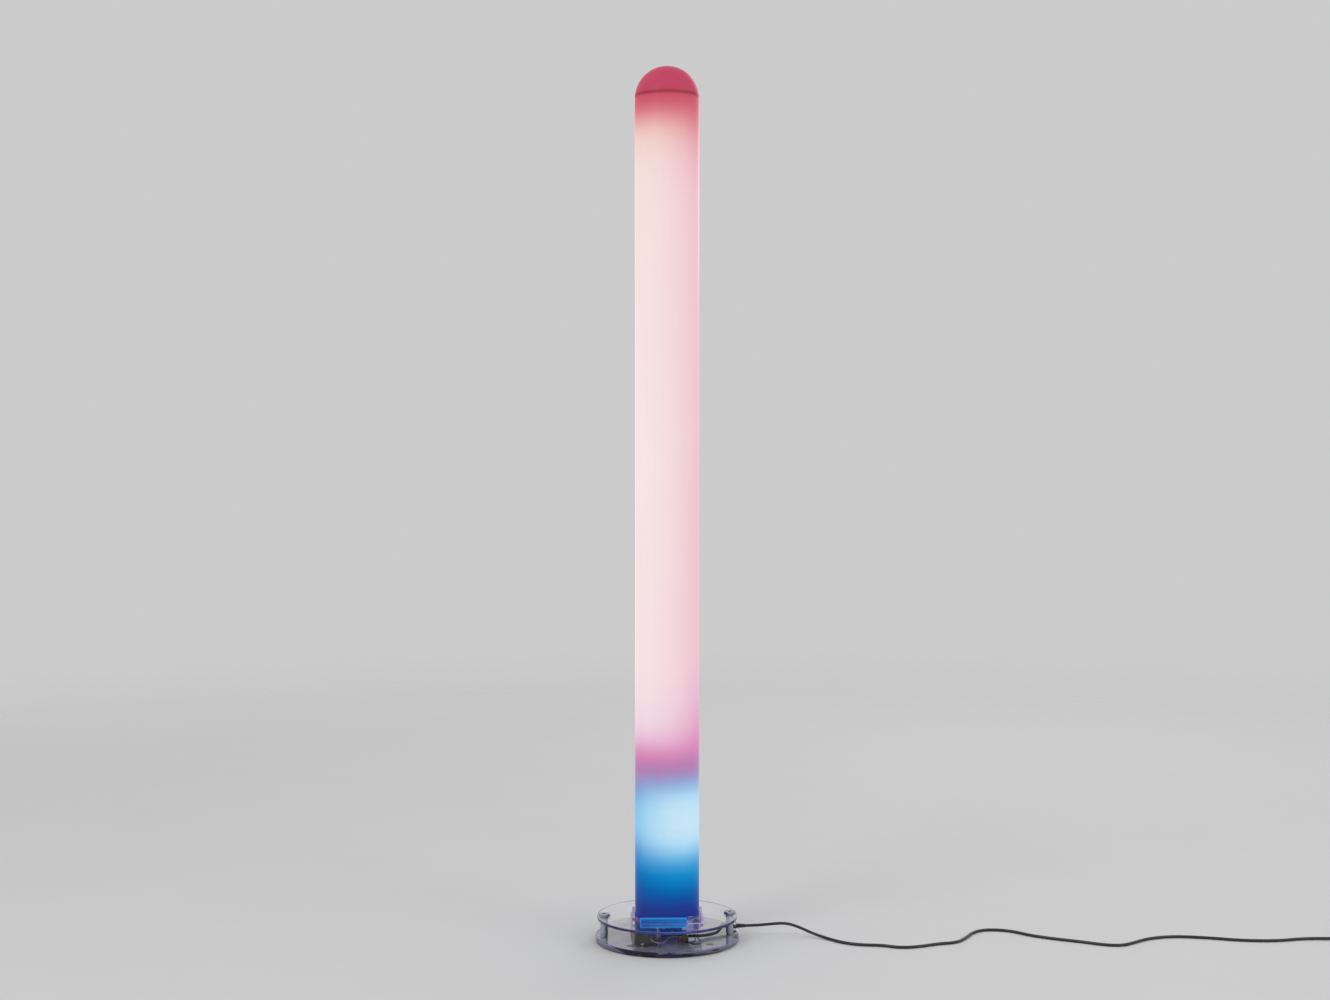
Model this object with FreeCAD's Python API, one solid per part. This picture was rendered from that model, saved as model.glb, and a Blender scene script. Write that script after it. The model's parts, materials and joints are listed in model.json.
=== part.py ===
import FreeCAD, Part
import math
import os

# A floor lamp: a tall opal tube with a domed cap stands on a clear two-disc base.
# Inside it a steel channel carries a long straight lamp above and a short twin-tube
# lamp below. The origin is the centre of the base's underside, +Z is up, the mains
# cord leaves towards +X, and the front of the base faces -Y. All sizes are in mm.

V = FreeCAD.Vector
UP = V(0, 0, 1)

# --- base: two clear discs held apart by three spacers -----------------------------
upper_diameter = 262.0
upper_thickness = 5.0
lower_step = 3.0
lower_thickness = 10.0
disc_edge_break = 0.6
disc_gap = 31.5
spacer_diameter = 14.0
spacer_edge_distance = 13.0
spacer_angles = (0, 180, 90)
pad_diameter = 16.0
pad_thickness = 1.0
pad_edge_distance = 30.0
pad_angles = (45, 135, 225, 315)

# --- screws of the base ------------------------------------------------------------
spacer_thread = 6.0
spacer_screw_reach = 12.0
cap_head_diameter = 22.8
cap_head_height = 4.0
cap_socket_flats = 6.0
cap_socket_depth = 2.4
cap_edge_break = 0.6
base_socket_flats = 4.0
base_socket_depth = 2.4
blind_hole_margin = 1.0
countersink_diameter = 12.0
countersink_height = 3.2
thread_clearance = 0.05
hole_clearance = 0.3

# --- clear plates that locate the tube's foot --------------------------------------
# They stand square to each other, turned a little about the tube's axis from the
# line of the spacers. The short end plate stands beside the front plate.
plate_thickness = 5.0
plate_height = 21.5
plate_rise = 9.0
plate_turn = -3.2
front_plate_length = 86.0
front_plate_shift = -8.0
back_plate_length = 86.0
side_plate_length = 83.0
side_plate_shift = -15.5
end_plate_length = 24.0
end_plate_gap = 2.0
end_plate_step = 2.5
plate_edge_break = 0.5
slot_clearance = 0.05
tube_side_clearance = 0.35

# --- opal tube and dome ------------------------------------------------------------
tube_diameter = 120.0
tube_wall = 4.0
tube_above_lamp = 16.4
seat_gap = 0.3
seam_gap = 0.3
dome_wall = 4.0
dome_centre_drop = 3.6
ring_reach = 12.0
ring_wall = 3.0
ring_root = 8.0
ring_clearance = 0.35
ring_recess_clearance = 0.05

# --- steel channel and its foot ----------------------------------------------------
foot_plate_diameter = 100.0
foot_plate_thickness = 3.0
foot_screw_thread = 5.0
foot_screw_radius = 42.0
foot_screw_head = 9.5
foot_screw_head_height = 3.0
foot_screw_head_round = 1.2
screw_slot_width = 1.2
screw_slot_depth = 1.2
foot_nut_flats = 8.0
foot_nut_height = 4.0
foot_screw_tip = 1.5
channel_width = 24.0
channel_depth = 18.0
channel_wall = 1.5
channel_top_margin = 3.0

# --- long straight lamp and its two holders ----------------------------------------
long_lamp_x = -20.0
long_lamp_y = -8.0
long_lamp_start = 356.0
long_lamp_length = 1199.4
long_glass_diameter = 26.0
long_glass_wall = 0.8
long_cap_diameter = 25.6
long_cap_length = 7.0
long_pin_diameter = 2.35
long_pin_spacing = 12.7
long_pin_length = 7.0
holder_width = 30.0
holder_height = 20.0
holder_face_gap = 0.5
holder_edge_round = 1.0
lamp_to_channel = 27.0
rotor_diameter = 20.0
rotor_thickness = 8.0
rotor_gap = 0.3
pin_slot_clearance = 0.15
entry_slot_width = 3.4
holder_screw_thread = 4.0
holder_screw_spacing = 14.0
holder_screw_head = 6.0
holder_screw_head_height = 2.0
holder_screw_reach = 8.0

# --- short twin-tube lamp, its holder and bracket ----------------------------------
short_lamp_x = 20.0
short_lamp_y = -10.0
short_holder_bottom = 118.0
short_holder_size = (40.0, 24.0, 27.0)
short_base_size = (32.0, 19.0, 20.0)
short_holder_round = 4.0
short_base_round = 6.0
short_lamp_seat_gap = 0.3
nub_size = (18.0, 11.0, 22.0)
nub_clearance = 0.4
short_pin_diameter = 2.3
short_pin_spacing = 23.0
short_pin_length = 7.0
short_glass_diameter = 12.0
short_glass_wall = 0.9
short_glass_spacing = 15.0
short_glass_length = 124.0
short_bridge_diameter = 7.0
short_bridge_drop = 12.0
bracket_sheet = 1.5
bracket_tab_height = 15.0
bracket_front = -24.0
bracket_right = 41.0
short_lead_drop = 9.0

# --- control gear, terminal block and push switch ----------------------------------
gear_width = 41.0
gear_height = 21.0
gear_sheet = 1.5
gear_end_length = 12.0
gear_tab_length = 9.0
gear_tab_width = 12.0
gear_edge_round = 2.0
gear_block_inset = 1.0
press_size = (3.0, 3.0, 4.0)
press_spacing = 6.0
press_places = (-2, -1, 1, 2)
main_gear_x = -44.5
main_gear_y = 0.0
main_gear_length = 150.0
main_tab_shift = -7.5
small_gear_x = 8.5
small_gear_y = 35.0
small_gear_length = 80.0
small_tab_shift = 0.0
gear_screw_thread = 4.0
gear_screw_head = 7.5
gear_screw_head_height = 2.4
gear_screw_head_round = 1.0
gear_screw_reach = 7.0
block_x = 25.5
block_y = -50.0
block_size = (17.0, 28.0, 12.0)
block_pole_spacing = 8.0
block_screw_diameter = 4.4
block_screw_rows = 18.0
block_screw_length = 4.5
block_well_depth = 6.0
block_edge_break = 1.5
block_slot_width = 0.9
block_slot_depth = 1.0
switch_side_gap = 7.85
switch_front_gap = 9.35
switch_bezel_diameter = 13.0
switch_bezel_height = 1.5
switch_barrel_diameter = 9.8
switch_barrel_length = 17.5
switch_nut_flats = 12.0
switch_nut_height = 2.5
switch_tab_spacing = 5.0
switch_tab_size = (0.8, 2.8, 6.0)
button_diameter = 7.0
button_rise = 3.0
button_travel = 1.8
button_length = 10.0
button_clearance = 0.08
button_end_gap = 0.4
button_edge_round = 0.8
switch_edge_break = 0.5

# --- leads inside the lamp ---------------------------------------------------------
lead_hole_x = -18.0
lead_hole_y = 29.0
lead_hole_diameter = 12.0
grommet_bore = 10.0
grommet_flange = 16.0
grommet_flange_thickness = 1.4
lamp_lead_diameter = 3.0
lamp_lead_spacing = 3.3
web_hole_clearance = 0.5
gear_lead_z = 21.5
gear_lead_diameter = 2.4
switch_lead_diameter = 2.2
outer_switch_lead_level = 17.0
inner_switch_lead_level = 18.0
upper_lead_start_x = -37.0
upper_lead_turn = 9.0
lower_lead_start_x = -42.0
lower_lead_turn = 14.0
short_lead_start_x = -5.0
short_lead_turn = 9.0
upper_lead_bends = [5, 5, 6, 6]
lower_lead_bends = [6, 6, 6, 6]
short_lead_bends = [4, 4, 6, 6, 7, 7]

# --- mains cord, its bracket and strain relief -------------------------------------
cord_diameter = 5.5
cord_floor_gap = 0.05
exit_y = 10.5
exit_z = 21.0
cord_bracket_gap = 1.0
cord_bracket_thickness = 4.0
cord_bracket_width = 19.0
cord_bracket_height = 21.0
cord_bracket_round = 4.0
relief_neck_diameter = 8.0
relief_inner_stub = 2.0
relief_boot_diameter = 9.5
relief_tip_diameter = 6.8
relief_boot_length = 18.0
relief_collar_diameter = 10.0
relief_collar_length = 2.6
relief_collar_place = 10.3
relief_fit = 0.05

# --- put-away coil, tie and plug ---------------------------------------------------
coil_x = 1312.0
coil_y = -72.0
coil_outer_radius = 37.0
coil_turn_pitch = 6.0
coil_layer_pitch = 6.0
coil_half_turns = 4
coil_climb_inset = 1.0
tie_width = 6.0
tie_thickness = 0.8
tie_gap = 0.3
plug_width = 35.3
plug_thickness = 13.7
plug_body_length = 22.0
plug_shoulder_length = 13.0
plug_neck_width = 13.0
plug_neck_thickness = 10.5
plug_relief_length = 20.0
plug_relief_tip = 7.6
plug_groove_count = 3
plug_groove_pitch = 5.0
plug_groove_width = 1.5
plug_groove_core = 7.0
plug_edge_break = 1.0
plug_pin_round = 1.2
plug_pin_diameter = 4.0
plug_pin_length = 19.0
plug_pin_spacing = 18.6
plug_sleeve_length = 10.0
plug_sleeve_diameter = 3.8
plug_edge_round = 3.0
tail_length = 54.0
tail_level_run = 15.0

# --- heights and places worked out from the sizes above ----------------------------
lower_diameter = upper_diameter + 2 * lower_step
pad_circle_radius = lower_diameter / 2 - pad_edge_distance
spacer_circle_radius = upper_diameter / 2 - spacer_edge_distance
lower_bottom = pad_thickness
lower_top = lower_bottom + lower_thickness
upper_bottom = lower_top + disc_gap
upper_top = upper_bottom + upper_thickness
plate_top = upper_top + plate_rise
plate_bottom = plate_top - plate_height
tube_radius = tube_diameter / 2
tube_bore = tube_radius - tube_wall
plate_near = tube_radius + tube_side_clearance
plate_far = plate_near + plate_thickness
switch_right = plate_near - switch_side_gap
switch_front = plate_near - switch_front_gap
switch_reach = math.hypot(switch_right, switch_front)
switch_angle = math.radians(plate_turn) - math.atan2(switch_front, switch_right)
switch_x = switch_reach * math.cos(switch_angle)
switch_y = switch_reach * math.sin(switch_angle)
tube_bottom = upper_top + seat_gap
ring_outer_diameter = 2 * (tube_bore - ring_clearance)
foot_top = upper_top + foot_plate_thickness
web_front = long_lamp_y + lamp_to_channel
web_back = web_front + channel_wall
channel_left = long_lamp_x - channel_width / 2
long_lamp_end = long_lamp_start + long_lamp_length
tube_top = long_lamp_end + tube_above_lamp
dome_bottom = tube_top + seam_gap
lower_face = long_lamp_start - holder_face_gap
upper_face = long_lamp_end + holder_face_gap
channel_top = upper_face + holder_height + channel_top_margin
lower_holder_middle = lower_face - holder_height / 2
upper_holder_middle = upper_face + holder_height / 2
short_holder_top = short_holder_bottom + short_holder_size[2]
short_lamp_bottom = short_holder_top + short_lamp_seat_gap
short_glass_bottom = short_lamp_bottom + short_base_size[2]
bracket_top = short_holder_bottom
bracket_bottom = bracket_top - bracket_sheet
short_lead_z = bracket_bottom - bracket_tab_height - short_lead_drop
gear_top = lower_top + gear_height
cord_bracket_x = spacer_circle_radius + spacer_diameter / 2 + cord_bracket_gap
cord_radius = cord_diameter / 2
cord_z = cord_radius + cord_floor_gap
coil_z = tie_thickness + tie_gap + cord_radius
coil_start_x = coil_x - cord_diameter
coil_start_y = coil_y - coil_outer_radius
relief_start = cord_bracket_x - relief_inner_stub
relief_end = cord_bracket_x + cord_bracket_thickness + relief_boot_length

# Route of the cord's free stretch, from the strain relief to the coil: a level start
# in the air, a drop to the floor, and then loose curves along the floor.
free_route = [
    V(relief_end, exit_y, exit_z),
    V(170, exit_y, exit_z),
    V(196, 7, 24),
    V(226, 5, 26),
    V(252, 5, 17),
    V(274, 0, 7),
    V(298, -24, cord_z),
    V(323, -59, cord_z),
    V(356, -78, cord_z),
    V(391, -82, cord_z),
    V(423, -103, cord_z),
    V(458, -98, cord_z),
    V(499, -80, cord_z),
    V(534, -75, cord_z),
    V(560, -42, cord_z),
    V(580, -6, cord_z),
    V(606, 14, cord_z),
    V(638, 11, cord_z),
    V(664, -6, cord_z),
    V(684, -34, cord_z),
    V(724, -64, cord_z),
    V(766, -87, cord_z),
    V(803, -114, cord_z),
    V(833, -121, cord_z),
    V(862, -103, cord_z),
    V(896, -76, cord_z),
    V(950, -62, cord_z),
    V(1010, -78, cord_z),
    V(1070, -104, cord_z),
    V(1132, -112, cord_z),
    V(1192, -98, cord_z),
    V(1251, coil_start_y, coil_z),
    V(coil_start_x, coil_start_y, coil_z),
]

# Leads in the gap between the discs. The ends that meet a terminal, a tab or a case
# are added where the leads are made.
main_gear_lead_route = [V(2, -44, 17), V(-7, -60, 15), V(-12, -80, 14), V(-24, -90, 17), V(-36, -89, 21.5)]
small_gear_lead_route = [V(25.5, -25, 17), V(16, -16, 21.5)]
outer_switch_lead_route = [V(58, -78, 13.5), V(46, -90, 13.5), V(29.5, -84, 16)]
inner_switch_lead_route = [V(47, -68, 13.5), V(36, -78, 13.5), V(21.5, -77, 16)]
block_front_level = 16.0

# Mains lead inside the base, from the terminal block round the right spacer to the relief.
inner_route = [
    V(block_x + block_size[0] / 2, -42, 17),
    V(54, -42, 17),
    V(74, -28, 14.5),
    V(93, -17, 16),
    V(105, exit_y, exit_z),
    V(relief_start, exit_y, exit_z),
]


def circle_points(radius, angles):
    return [(radius * math.cos(math.radians(a)), radius * math.sin(math.radians(a))) for a in angles]


def rod(diameter, start, end, x=0.0, y=0.0):
    """A round bar along Z from height start to height end."""
    return Part.makeCylinder(diameter / 2, end - start, V(x, y, start))


def rod_x(diameter, start, end, y, z):
    return Part.makeCylinder(diameter / 2, end - start, V(start, y, z), V(1, 0, 0))


def rod_y(diameter, start, end, x, z):
    return Part.makeCylinder(diameter / 2, end - start, V(x, start, z), V(0, 1, 0))


def block(x0, x1, y0, y1, z0, z1):
    return Part.makeBox(x1 - x0, y1 - y0, z1 - z0, V(x0, y0, z0))


def centred_block(x, y, bottom, size):
    return block(x - size[0] / 2, x + size[0] / 2, y - size[1] / 2, y + size[1] / 2, bottom, bottom + size[2])


def rounded_upright(x, y, bottom, size, radius):
    """A centred block with its upright edges rounded."""
    shape = centred_block(x, y, bottom, size)
    uprights = [e for e in shape.Edges if abs(e.BoundBox.ZLength - size[2]) < 1e-6]
    return shape.makeFillet(radius, uprights)


def hexagon(flats, bottom, top, x, y):
    """A hexagonal bar; flats is the size across its flats."""
    reach = flats / math.sqrt(3)
    corners = [V(x + px, y + py, bottom) for px, py in circle_points(reach, range(0, 360, 60))]
    face = Part.Face(Part.makePolygon(corners + [corners[0]]))
    return face.extrude(V(0, 0, top - bottom))


def cone(diameter_start, diameter_end, start, end, x, y):
    return Part.makeCone(diameter_start / 2, diameter_end / 2, end - start, V(x, y, start))


def turned(shape, angle):
    """The shape turned about the tube's axis."""
    shape.rotate(V(0, 0, 0), UP, angle)
    return shape


def cut_all(shape, tools):
    return shape.cut(Part.Compound(tools))


def fuse_all(shapes):
    result = shapes[0].multiFuse(shapes[1:])
    return result.removeSplitter()


def bend_radius(before, corner, after):
    """The largest neat radius at a corner: 0.45 of the shorter run over tan(half the turn)."""
    turn = (corner - before).getAngle(after - corner)
    shorter = min(before.distanceToPoint(corner), corner.distanceToPoint(after))
    return 0.45 * shorter / math.tan(turn / 2)


def rounded_path(points, radii=None):
    """Straight runs joined by tangent arcs, as one wire, with the radii that were used."""
    edges = []
    used = []
    last = points[0]
    for index in range(1, len(points) - 1):
        before, corner, after = points[index - 1:index + 2]
        radius = radii[index - 1] if radii else bend_radius(before, corner, after)
        used.append(radius)
        to_before = (before - corner).normalize()
        to_after = (after - corner).normalize()
        turn = (corner - before).getAngle(after - corner)
        setback = radius * math.tan(turn / 2)
        start = corner + to_before * setback
        end = corner + to_after * setback
        inward = (to_before + to_after).normalize()
        middle = corner + inward * (radius / math.cos(turn / 2) - radius)
        edges.append(Part.LineSegment(last, start).toShape())
        edges.append(Part.Arc(start, middle, end).toShape())
        last = end
    edges.append(Part.LineSegment(last, points[-1]).toShape())
    return Part.Wire(edges), used


def tube_along(wire, diameter, start, direction):
    """A solid round cord along a wire, as a pipe shell in its default mode."""
    profile = Part.Wire(Part.makeCircle(diameter / 2, start, direction))
    shell = Part.BRepOffsetAPI.MakePipeShell(wire)
    shell.add(profile)
    shell.build()
    shell.makeSolid()
    return shell.shape()


def lead(points, diameter, radii=None):
    wire, used = rounded_path(points, radii)
    return tube_along(wire, diameter, points[0], points[1] - points[0])


def print_cord(name, wire, solid, radii):
    section = math.pi * cord_radius ** 2
    print("%s: length %.0f mm, volume over section times length %.4f" % (
        name, wire.Length, solid.Volume / (section * wire.Length)))
    if radii:
        print("%s radii: %s" % (name, " ".join("%.0f" % r for r in radii)))


# --- base --------------------------------------------------------------------------
def foot_pads():
    places = circle_points(pad_circle_radius, pad_angles)
    return [rod(pad_diameter, 0, pad_thickness, x, y) for x, y in places]


def spacer_places():
    return circle_points(spacer_circle_radius, spacer_angles)


def disc(diameter, bottom, thickness):
    shape = rod(diameter, bottom, bottom + thickness)
    return shape.makeChamfer(disc_edge_break, [e for e in shape.Edges if e.Closed and e.Length > diameter])


def gear_screw_places():
    places = []
    for x, y, length, shift in gear_layout():
        for side in (-1, 1):
            places.append((x + shift, y + side * (length / 2 + gear_tab_length / 2)))
    return places


def lower_disc():
    shape = disc(lower_diameter, lower_bottom, lower_thickness)
    tools = []
    for x, y in spacer_places():
        tools.append(rod(spacer_thread + 2 * hole_clearance, lower_bottom, lower_top, x, y))
        tools.append(countersunk_head(x, y, hole_clearance / 2))
    for x, y in gear_screw_places():
        bore = gear_screw_thread + 2 * thread_clearance
        tools.append(rod(bore, lower_top - gear_screw_reach, lower_top, x, y))
    return cut_all(shape, tools)


def countersunk_head(x, y, clearance):
    start = countersink_diameter + 2 * clearance
    end = spacer_thread + 2 * clearance
    return cone(start, end, lower_bottom, lower_bottom + countersink_height, x, y)


def spacers():
    shapes = []
    bore = spacer_thread + 2 * thread_clearance
    depth = spacer_screw_reach + blind_hole_margin
    for x, y in spacer_places():
        holes = [
            rod(bore, lower_top, lower_top + depth, x, y),
            rod(bore, upper_bottom - depth, upper_bottom, x, y),
        ]
        shapes.append(cut_all(rod(spacer_diameter, lower_top, upper_bottom, x, y), holes))
    return shapes


def base_screws():
    shapes = []
    for x, y in spacer_places():
        shank = rod(spacer_thread, lower_bottom, lower_top + spacer_screw_reach, x, y)
        socket = hexagon(base_socket_flats, lower_bottom, lower_bottom + base_socket_depth, x, y)
        shapes.append(fuse_all([shank, countersunk_head(x, y, 0)]).cut(socket))
    return shapes


def cap_screws():
    """Wide round caps on the upper disc, with a hexagon socket, screwed into the spacers."""
    shapes = []
    for x, y in spacer_places():
        head = rod(cap_head_diameter, upper_top, upper_top + cap_head_height, x, y)
        head = head.makeChamfer(cap_edge_break, [head.Edges[0], head.Edges[2]])
        shank = rod(spacer_thread, upper_bottom - spacer_screw_reach, upper_top, x, y)
        top = upper_top + cap_head_height
        socket = hexagon(cap_socket_flats, top - cap_socket_depth, top, x, y)
        shapes.append(fuse_all([head, shank]).cut(socket))
    return shapes


def plate_boxes(extra):
    """The plates round the tube's foot; extra widens them into their slots."""
    near = plate_near - extra
    far = plate_far + extra
    low, high = plate_bottom, plate_top
    front_low = front_plate_shift - front_plate_length / 2 - extra
    front_high = front_plate_shift + front_plate_length / 2 + extra
    back_reach = back_plate_length / 2 + extra
    side_low = side_plate_shift - side_plate_length / 2 - extra
    side_high = side_plate_shift + side_plate_length / 2 + extra
    end_low = front_plate_shift + front_plate_length / 2 + end_plate_gap - extra
    end_high = end_low + end_plate_length + 2 * extra
    boxes = {
        "front_plate": block(front_low, front_high, -far, -near, low, high),
        "back_plate": block(-back_reach, back_reach, near, far, low, high),
        "left_plate": block(-far, -near, side_low, side_high, low, high),
        "right_plate": block(near, far, side_low, side_high, low, high),
        "end_plate": block(end_low, end_high, -far, -near, low, high + end_plate_step),
    }
    return {name: turned(shape, plate_turn) for name, shape in boxes.items()}


def locating_plates():
    boxes = plate_boxes(0)
    return {name: shape.makeChamfer(plate_edge_break, shape.Edges) for name, shape in boxes.items()}


def foot_screw_places():
    return circle_points(foot_screw_radius, (0, 90, 180, 270))


def upper_disc():
    tools = list(plate_boxes(slot_clearance).values())
    for x, y in spacer_places():
        tools.append(rod(spacer_thread + 2 * hole_clearance, upper_bottom, upper_top, x, y))
    for x, y in foot_screw_places():
        tools.append(rod(foot_screw_thread + 2 * hole_clearance, upper_bottom, upper_top, x, y))
    switch_hole = switch_barrel_diameter + 2 * hole_clearance
    tools.append(rod(switch_hole, upper_bottom, upper_top, switch_x, switch_y))
    tools.append(rod(lead_hole_diameter, upper_bottom, upper_top, lead_hole_x, lead_hole_y))
    return cut_all(disc(upper_diameter, upper_bottom, upper_thickness), tools)


# --- tube and dome -----------------------------------------------------------------
def diffuser_tube():
    shape = rod(tube_diameter, tube_bottom, tube_top)
    return shape.cut(rod(2 * tube_bore, tube_bottom, tube_top))


def dome_cap():
    """A little more than half a hollow sphere, with a recess that seats the ring."""
    centre = V(0, 0, dome_bottom - dome_centre_drop)
    outer = Part.makeSphere(tube_radius, centre)
    inner = Part.makeSphere(tube_radius - dome_wall, centre)
    keep = rod(2 * tube_diameter, dome_bottom, dome_bottom + tube_diameter)
    recess = rod(ring_outer_diameter + 2 * ring_recess_clearance, dome_bottom, dome_bottom + ring_root)
    return outer.cut(inner).common(keep).cut(recess)


def dome_ring():
    """A ring glued into the cap, which plugs into the tube."""
    bottom = dome_bottom - ring_reach
    top = dome_bottom + ring_root
    inner_diameter = ring_outer_diameter - 2 * ring_wall
    return rod(ring_outer_diameter, bottom, top).cut(rod(inner_diameter, bottom, top))


# --- channel, foot and lead grommet ------------------------------------------------
def lead_bore(bottom, top):
    return rod(lead_hole_diameter, bottom, top, lead_hole_x, lead_hole_y)


def foot_plate():
    tools = [lead_bore(upper_top, foot_top)]
    for x, y in foot_screw_places():
        tools.append(rod(foot_screw_thread + 2 * hole_clearance, upper_top, foot_top, x, y))
    return cut_all(rod(foot_plate_diameter, upper_top, foot_top), tools)


def foot_screws():
    shapes = []
    for x, y in foot_screw_places():
        shank = rod(foot_screw_thread, upper_bottom - foot_nut_height - foot_screw_tip, foot_top, x, y)
        top = foot_top + foot_screw_head_height
        head = rod(foot_screw_head, foot_top, top, x, y)
        head = head.makeFillet(foot_screw_head_round, [head.Edges[0]])
        slot_size = (foot_screw_head, screw_slot_width, screw_slot_depth)
        slot = centred_block(x, y, top - screw_slot_depth, slot_size)
        shapes.append(fuse_all([shank, head]).cut(slot))
    return shapes


def foot_nuts():
    shapes = []
    for x, y in foot_screw_places():
        nut = hexagon(foot_nut_flats, upper_bottom - foot_nut_height, upper_bottom, x, y)
        bore = foot_screw_thread + 2 * thread_clearance
        shapes.append(nut.cut(rod(bore, upper_bottom - foot_nut_height, upper_bottom, x, y)))
    return shapes


def lead_grommet():
    top = foot_top + grommet_flange_thickness
    bottom = upper_bottom - grommet_flange_thickness
    x, y = lead_hole_x, lead_hole_y
    body = rod(lead_hole_diameter - 2 * thread_clearance, bottom, top, x, y)
    flanges = [rod(grommet_flange, foot_top, top, x, y), rod(grommet_flange, bottom, upper_bottom, x, y)]
    return fuse_all([body] + flanges).cut(rod(grommet_bore, bottom, top, x, y))


def lamp_lead_x(index):
    """Place across the channel of the leads to the upper, lower and short lamp's holders."""
    return lead_hole_x + (index - 1) * lamp_lead_spacing


def lamp_lead_exits():
    """Where each lamp lead leaves the channel through its web."""
    heights = (upper_holder_middle, lower_holder_middle, short_lead_z)
    return [(lamp_lead_x(index), z) for index, z in enumerate(heights)]


def holder_screw_places():
    places = []
    for z in (lower_holder_middle, upper_holder_middle):
        for side in (-1, 1):
            places.append((long_lamp_x + side * holder_screw_spacing / 2, z))
    return places


def bracket_screw_places():
    z = bracket_bottom - bracket_tab_height / 2
    return [(long_lamp_x + side * holder_screw_spacing / 2, z) for side in (-1, 1)]


def channel():
    right = channel_left + channel_width
    back = web_front + channel_depth
    shape = block(channel_left, right, web_front, back, foot_top, channel_top)
    hollow = block(channel_left + channel_wall, right - channel_wall, web_back, back, foot_top, channel_top)
    tools = [hollow]
    for x, z in lamp_lead_exits():
        tools.append(rod_y(lamp_lead_diameter + 2 * web_hole_clearance, web_front, web_back, x, z))
    for x, z in holder_screw_places() + bracket_screw_places():
        tools.append(rod_y(holder_screw_thread + 2 * hole_clearance, web_front, web_back, x, z))
    return cut_all(shape, tools)


# --- long lamp ---------------------------------------------------------------------
def lampholder(bottom, face_up):
    """A holder with a round front, a recess for its rotor and an entry slot for the pins."""
    top = bottom + holder_height
    left = long_lamp_x - holder_width / 2
    body = fuse_all([
        rod(holder_width, bottom, top, long_lamp_x, long_lamp_y),
        block(left, left + holder_width, long_lamp_y, web_front, bottom, top),
    ])
    level = [e for e in body.Edges if e.BoundBox.ZLength < 1e-6]
    body = body.makeFillet(holder_edge_round, [e for e in level if e.BoundBox.YMax < web_front - 1])
    depth = rotor_thickness + rotor_gap
    low = top - depth if face_up else bottom
    recess = rod(rotor_diameter + 2 * rotor_gap, low, low + depth, long_lamp_x, long_lamp_y)
    slot_left = long_lamp_x - entry_slot_width / 2
    slot_right = long_lamp_x + entry_slot_width / 2
    slot = block(slot_left, slot_right, long_lamp_y - holder_width, long_lamp_y, low, low + depth)
    tools = [recess, slot]
    for x, z in holder_screw_places():
        if bottom < z < top:
            bore = holder_screw_thread + 2 * thread_clearance
            tools.append(rod_y(bore, web_front - holder_screw_reach, web_front, x, z))
    return cut_all(body, tools)


def rotor(face, face_up):
    """The turning disc of a holder; its slot lies across the entry when the lamp is locked."""
    low = face - rotor_thickness if face_up else face
    shape = rod(rotor_diameter, low, low + rotor_thickness, long_lamp_x, long_lamp_y)
    width = long_pin_diameter + 2 * pin_slot_clearance
    depth = long_pin_length
    slot_low = face - depth if face_up else face
    reach = rotor_diameter
    slot = centred_block(long_lamp_x, long_lamp_y, slot_low, (2 * reach, width, depth))
    return shape.cut(slot)


def long_lamp_glass():
    low = long_lamp_start + long_cap_length
    high = long_lamp_end - long_cap_length
    outer = rod(long_glass_diameter, low, high, long_lamp_x, long_lamp_y)
    return outer.cut(rod(long_glass_diameter - 2 * long_glass_wall, low, high, long_lamp_x, long_lamp_y))


def long_lamp_caps():
    ends = (long_lamp_start, long_lamp_end - long_cap_length)
    return [rod(long_cap_diameter, z, z + long_cap_length, long_lamp_x, long_lamp_y) for z in ends]


def long_lamp_pins():
    shapes = []
    for low in (long_lamp_start - long_pin_length, long_lamp_end):
        for side in (-1, 1):
            x = long_lamp_x + side * long_pin_spacing / 2
            shapes.append(rod(long_pin_diameter, low, low + long_pin_length, x, long_lamp_y))
    return shapes


def panel_screws(places, reach):
    """Screws that pass the channel's web from behind."""
    shapes = []
    for x, z in places:
        shank = rod_y(holder_screw_thread, web_front - reach, web_back, x, z)
        head = rod_y(holder_screw_head, web_back, web_back + holder_screw_head_height, x, z)
        shapes.append(fuse_all([shank, head]))
    return shapes


# --- short lamp --------------------------------------------------------------------
def short_pin_places():
    return [short_lamp_x + side * short_pin_spacing / 2 for side in (-1, 1)]


def short_lamp_bracket():
    """A bent sheet: a shelf under the short lamp's holder and a tab on the channel's web."""
    shelf = block(channel_left, bracket_right, bracket_front, web_front, bracket_bottom, bracket_top)
    tab = block(channel_left, channel_left + channel_width, web_front - bracket_sheet, web_front,
                bracket_bottom - bracket_tab_height, bracket_bottom)
    lead_hole = lamp_lead_diameter + 2 * web_hole_clearance
    tools = [rod(lead_hole, bracket_bottom, bracket_top, short_lamp_x, short_lamp_y)]
    bore = holder_screw_thread + 2 * thread_clearance
    for x, z in bracket_screw_places():
        tools.append(rod_y(bore, web_front - bracket_sheet, web_front, x, z))
    return cut_all(fuse_all([shelf, tab]), tools)


def short_lamp_holder():
    x, y = short_lamp_x, short_lamp_y
    body = rounded_upright(x, y, short_holder_bottom, short_holder_size, short_holder_round)
    extra = 2 * nub_clearance
    pocket_size = (nub_size[0] + extra, nub_size[1] + extra, nub_size[2] + blind_hole_margin)
    tools = [centred_block(x, y, short_holder_top - pocket_size[2], pocket_size)]
    pin_hole_bottom = short_holder_top - short_pin_length - blind_hole_margin
    for pin_x in short_pin_places():
        tools.append(rod(short_pin_diameter + extra, pin_hole_bottom, short_holder_top, pin_x, y))
    return cut_all(body, tools)


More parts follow.
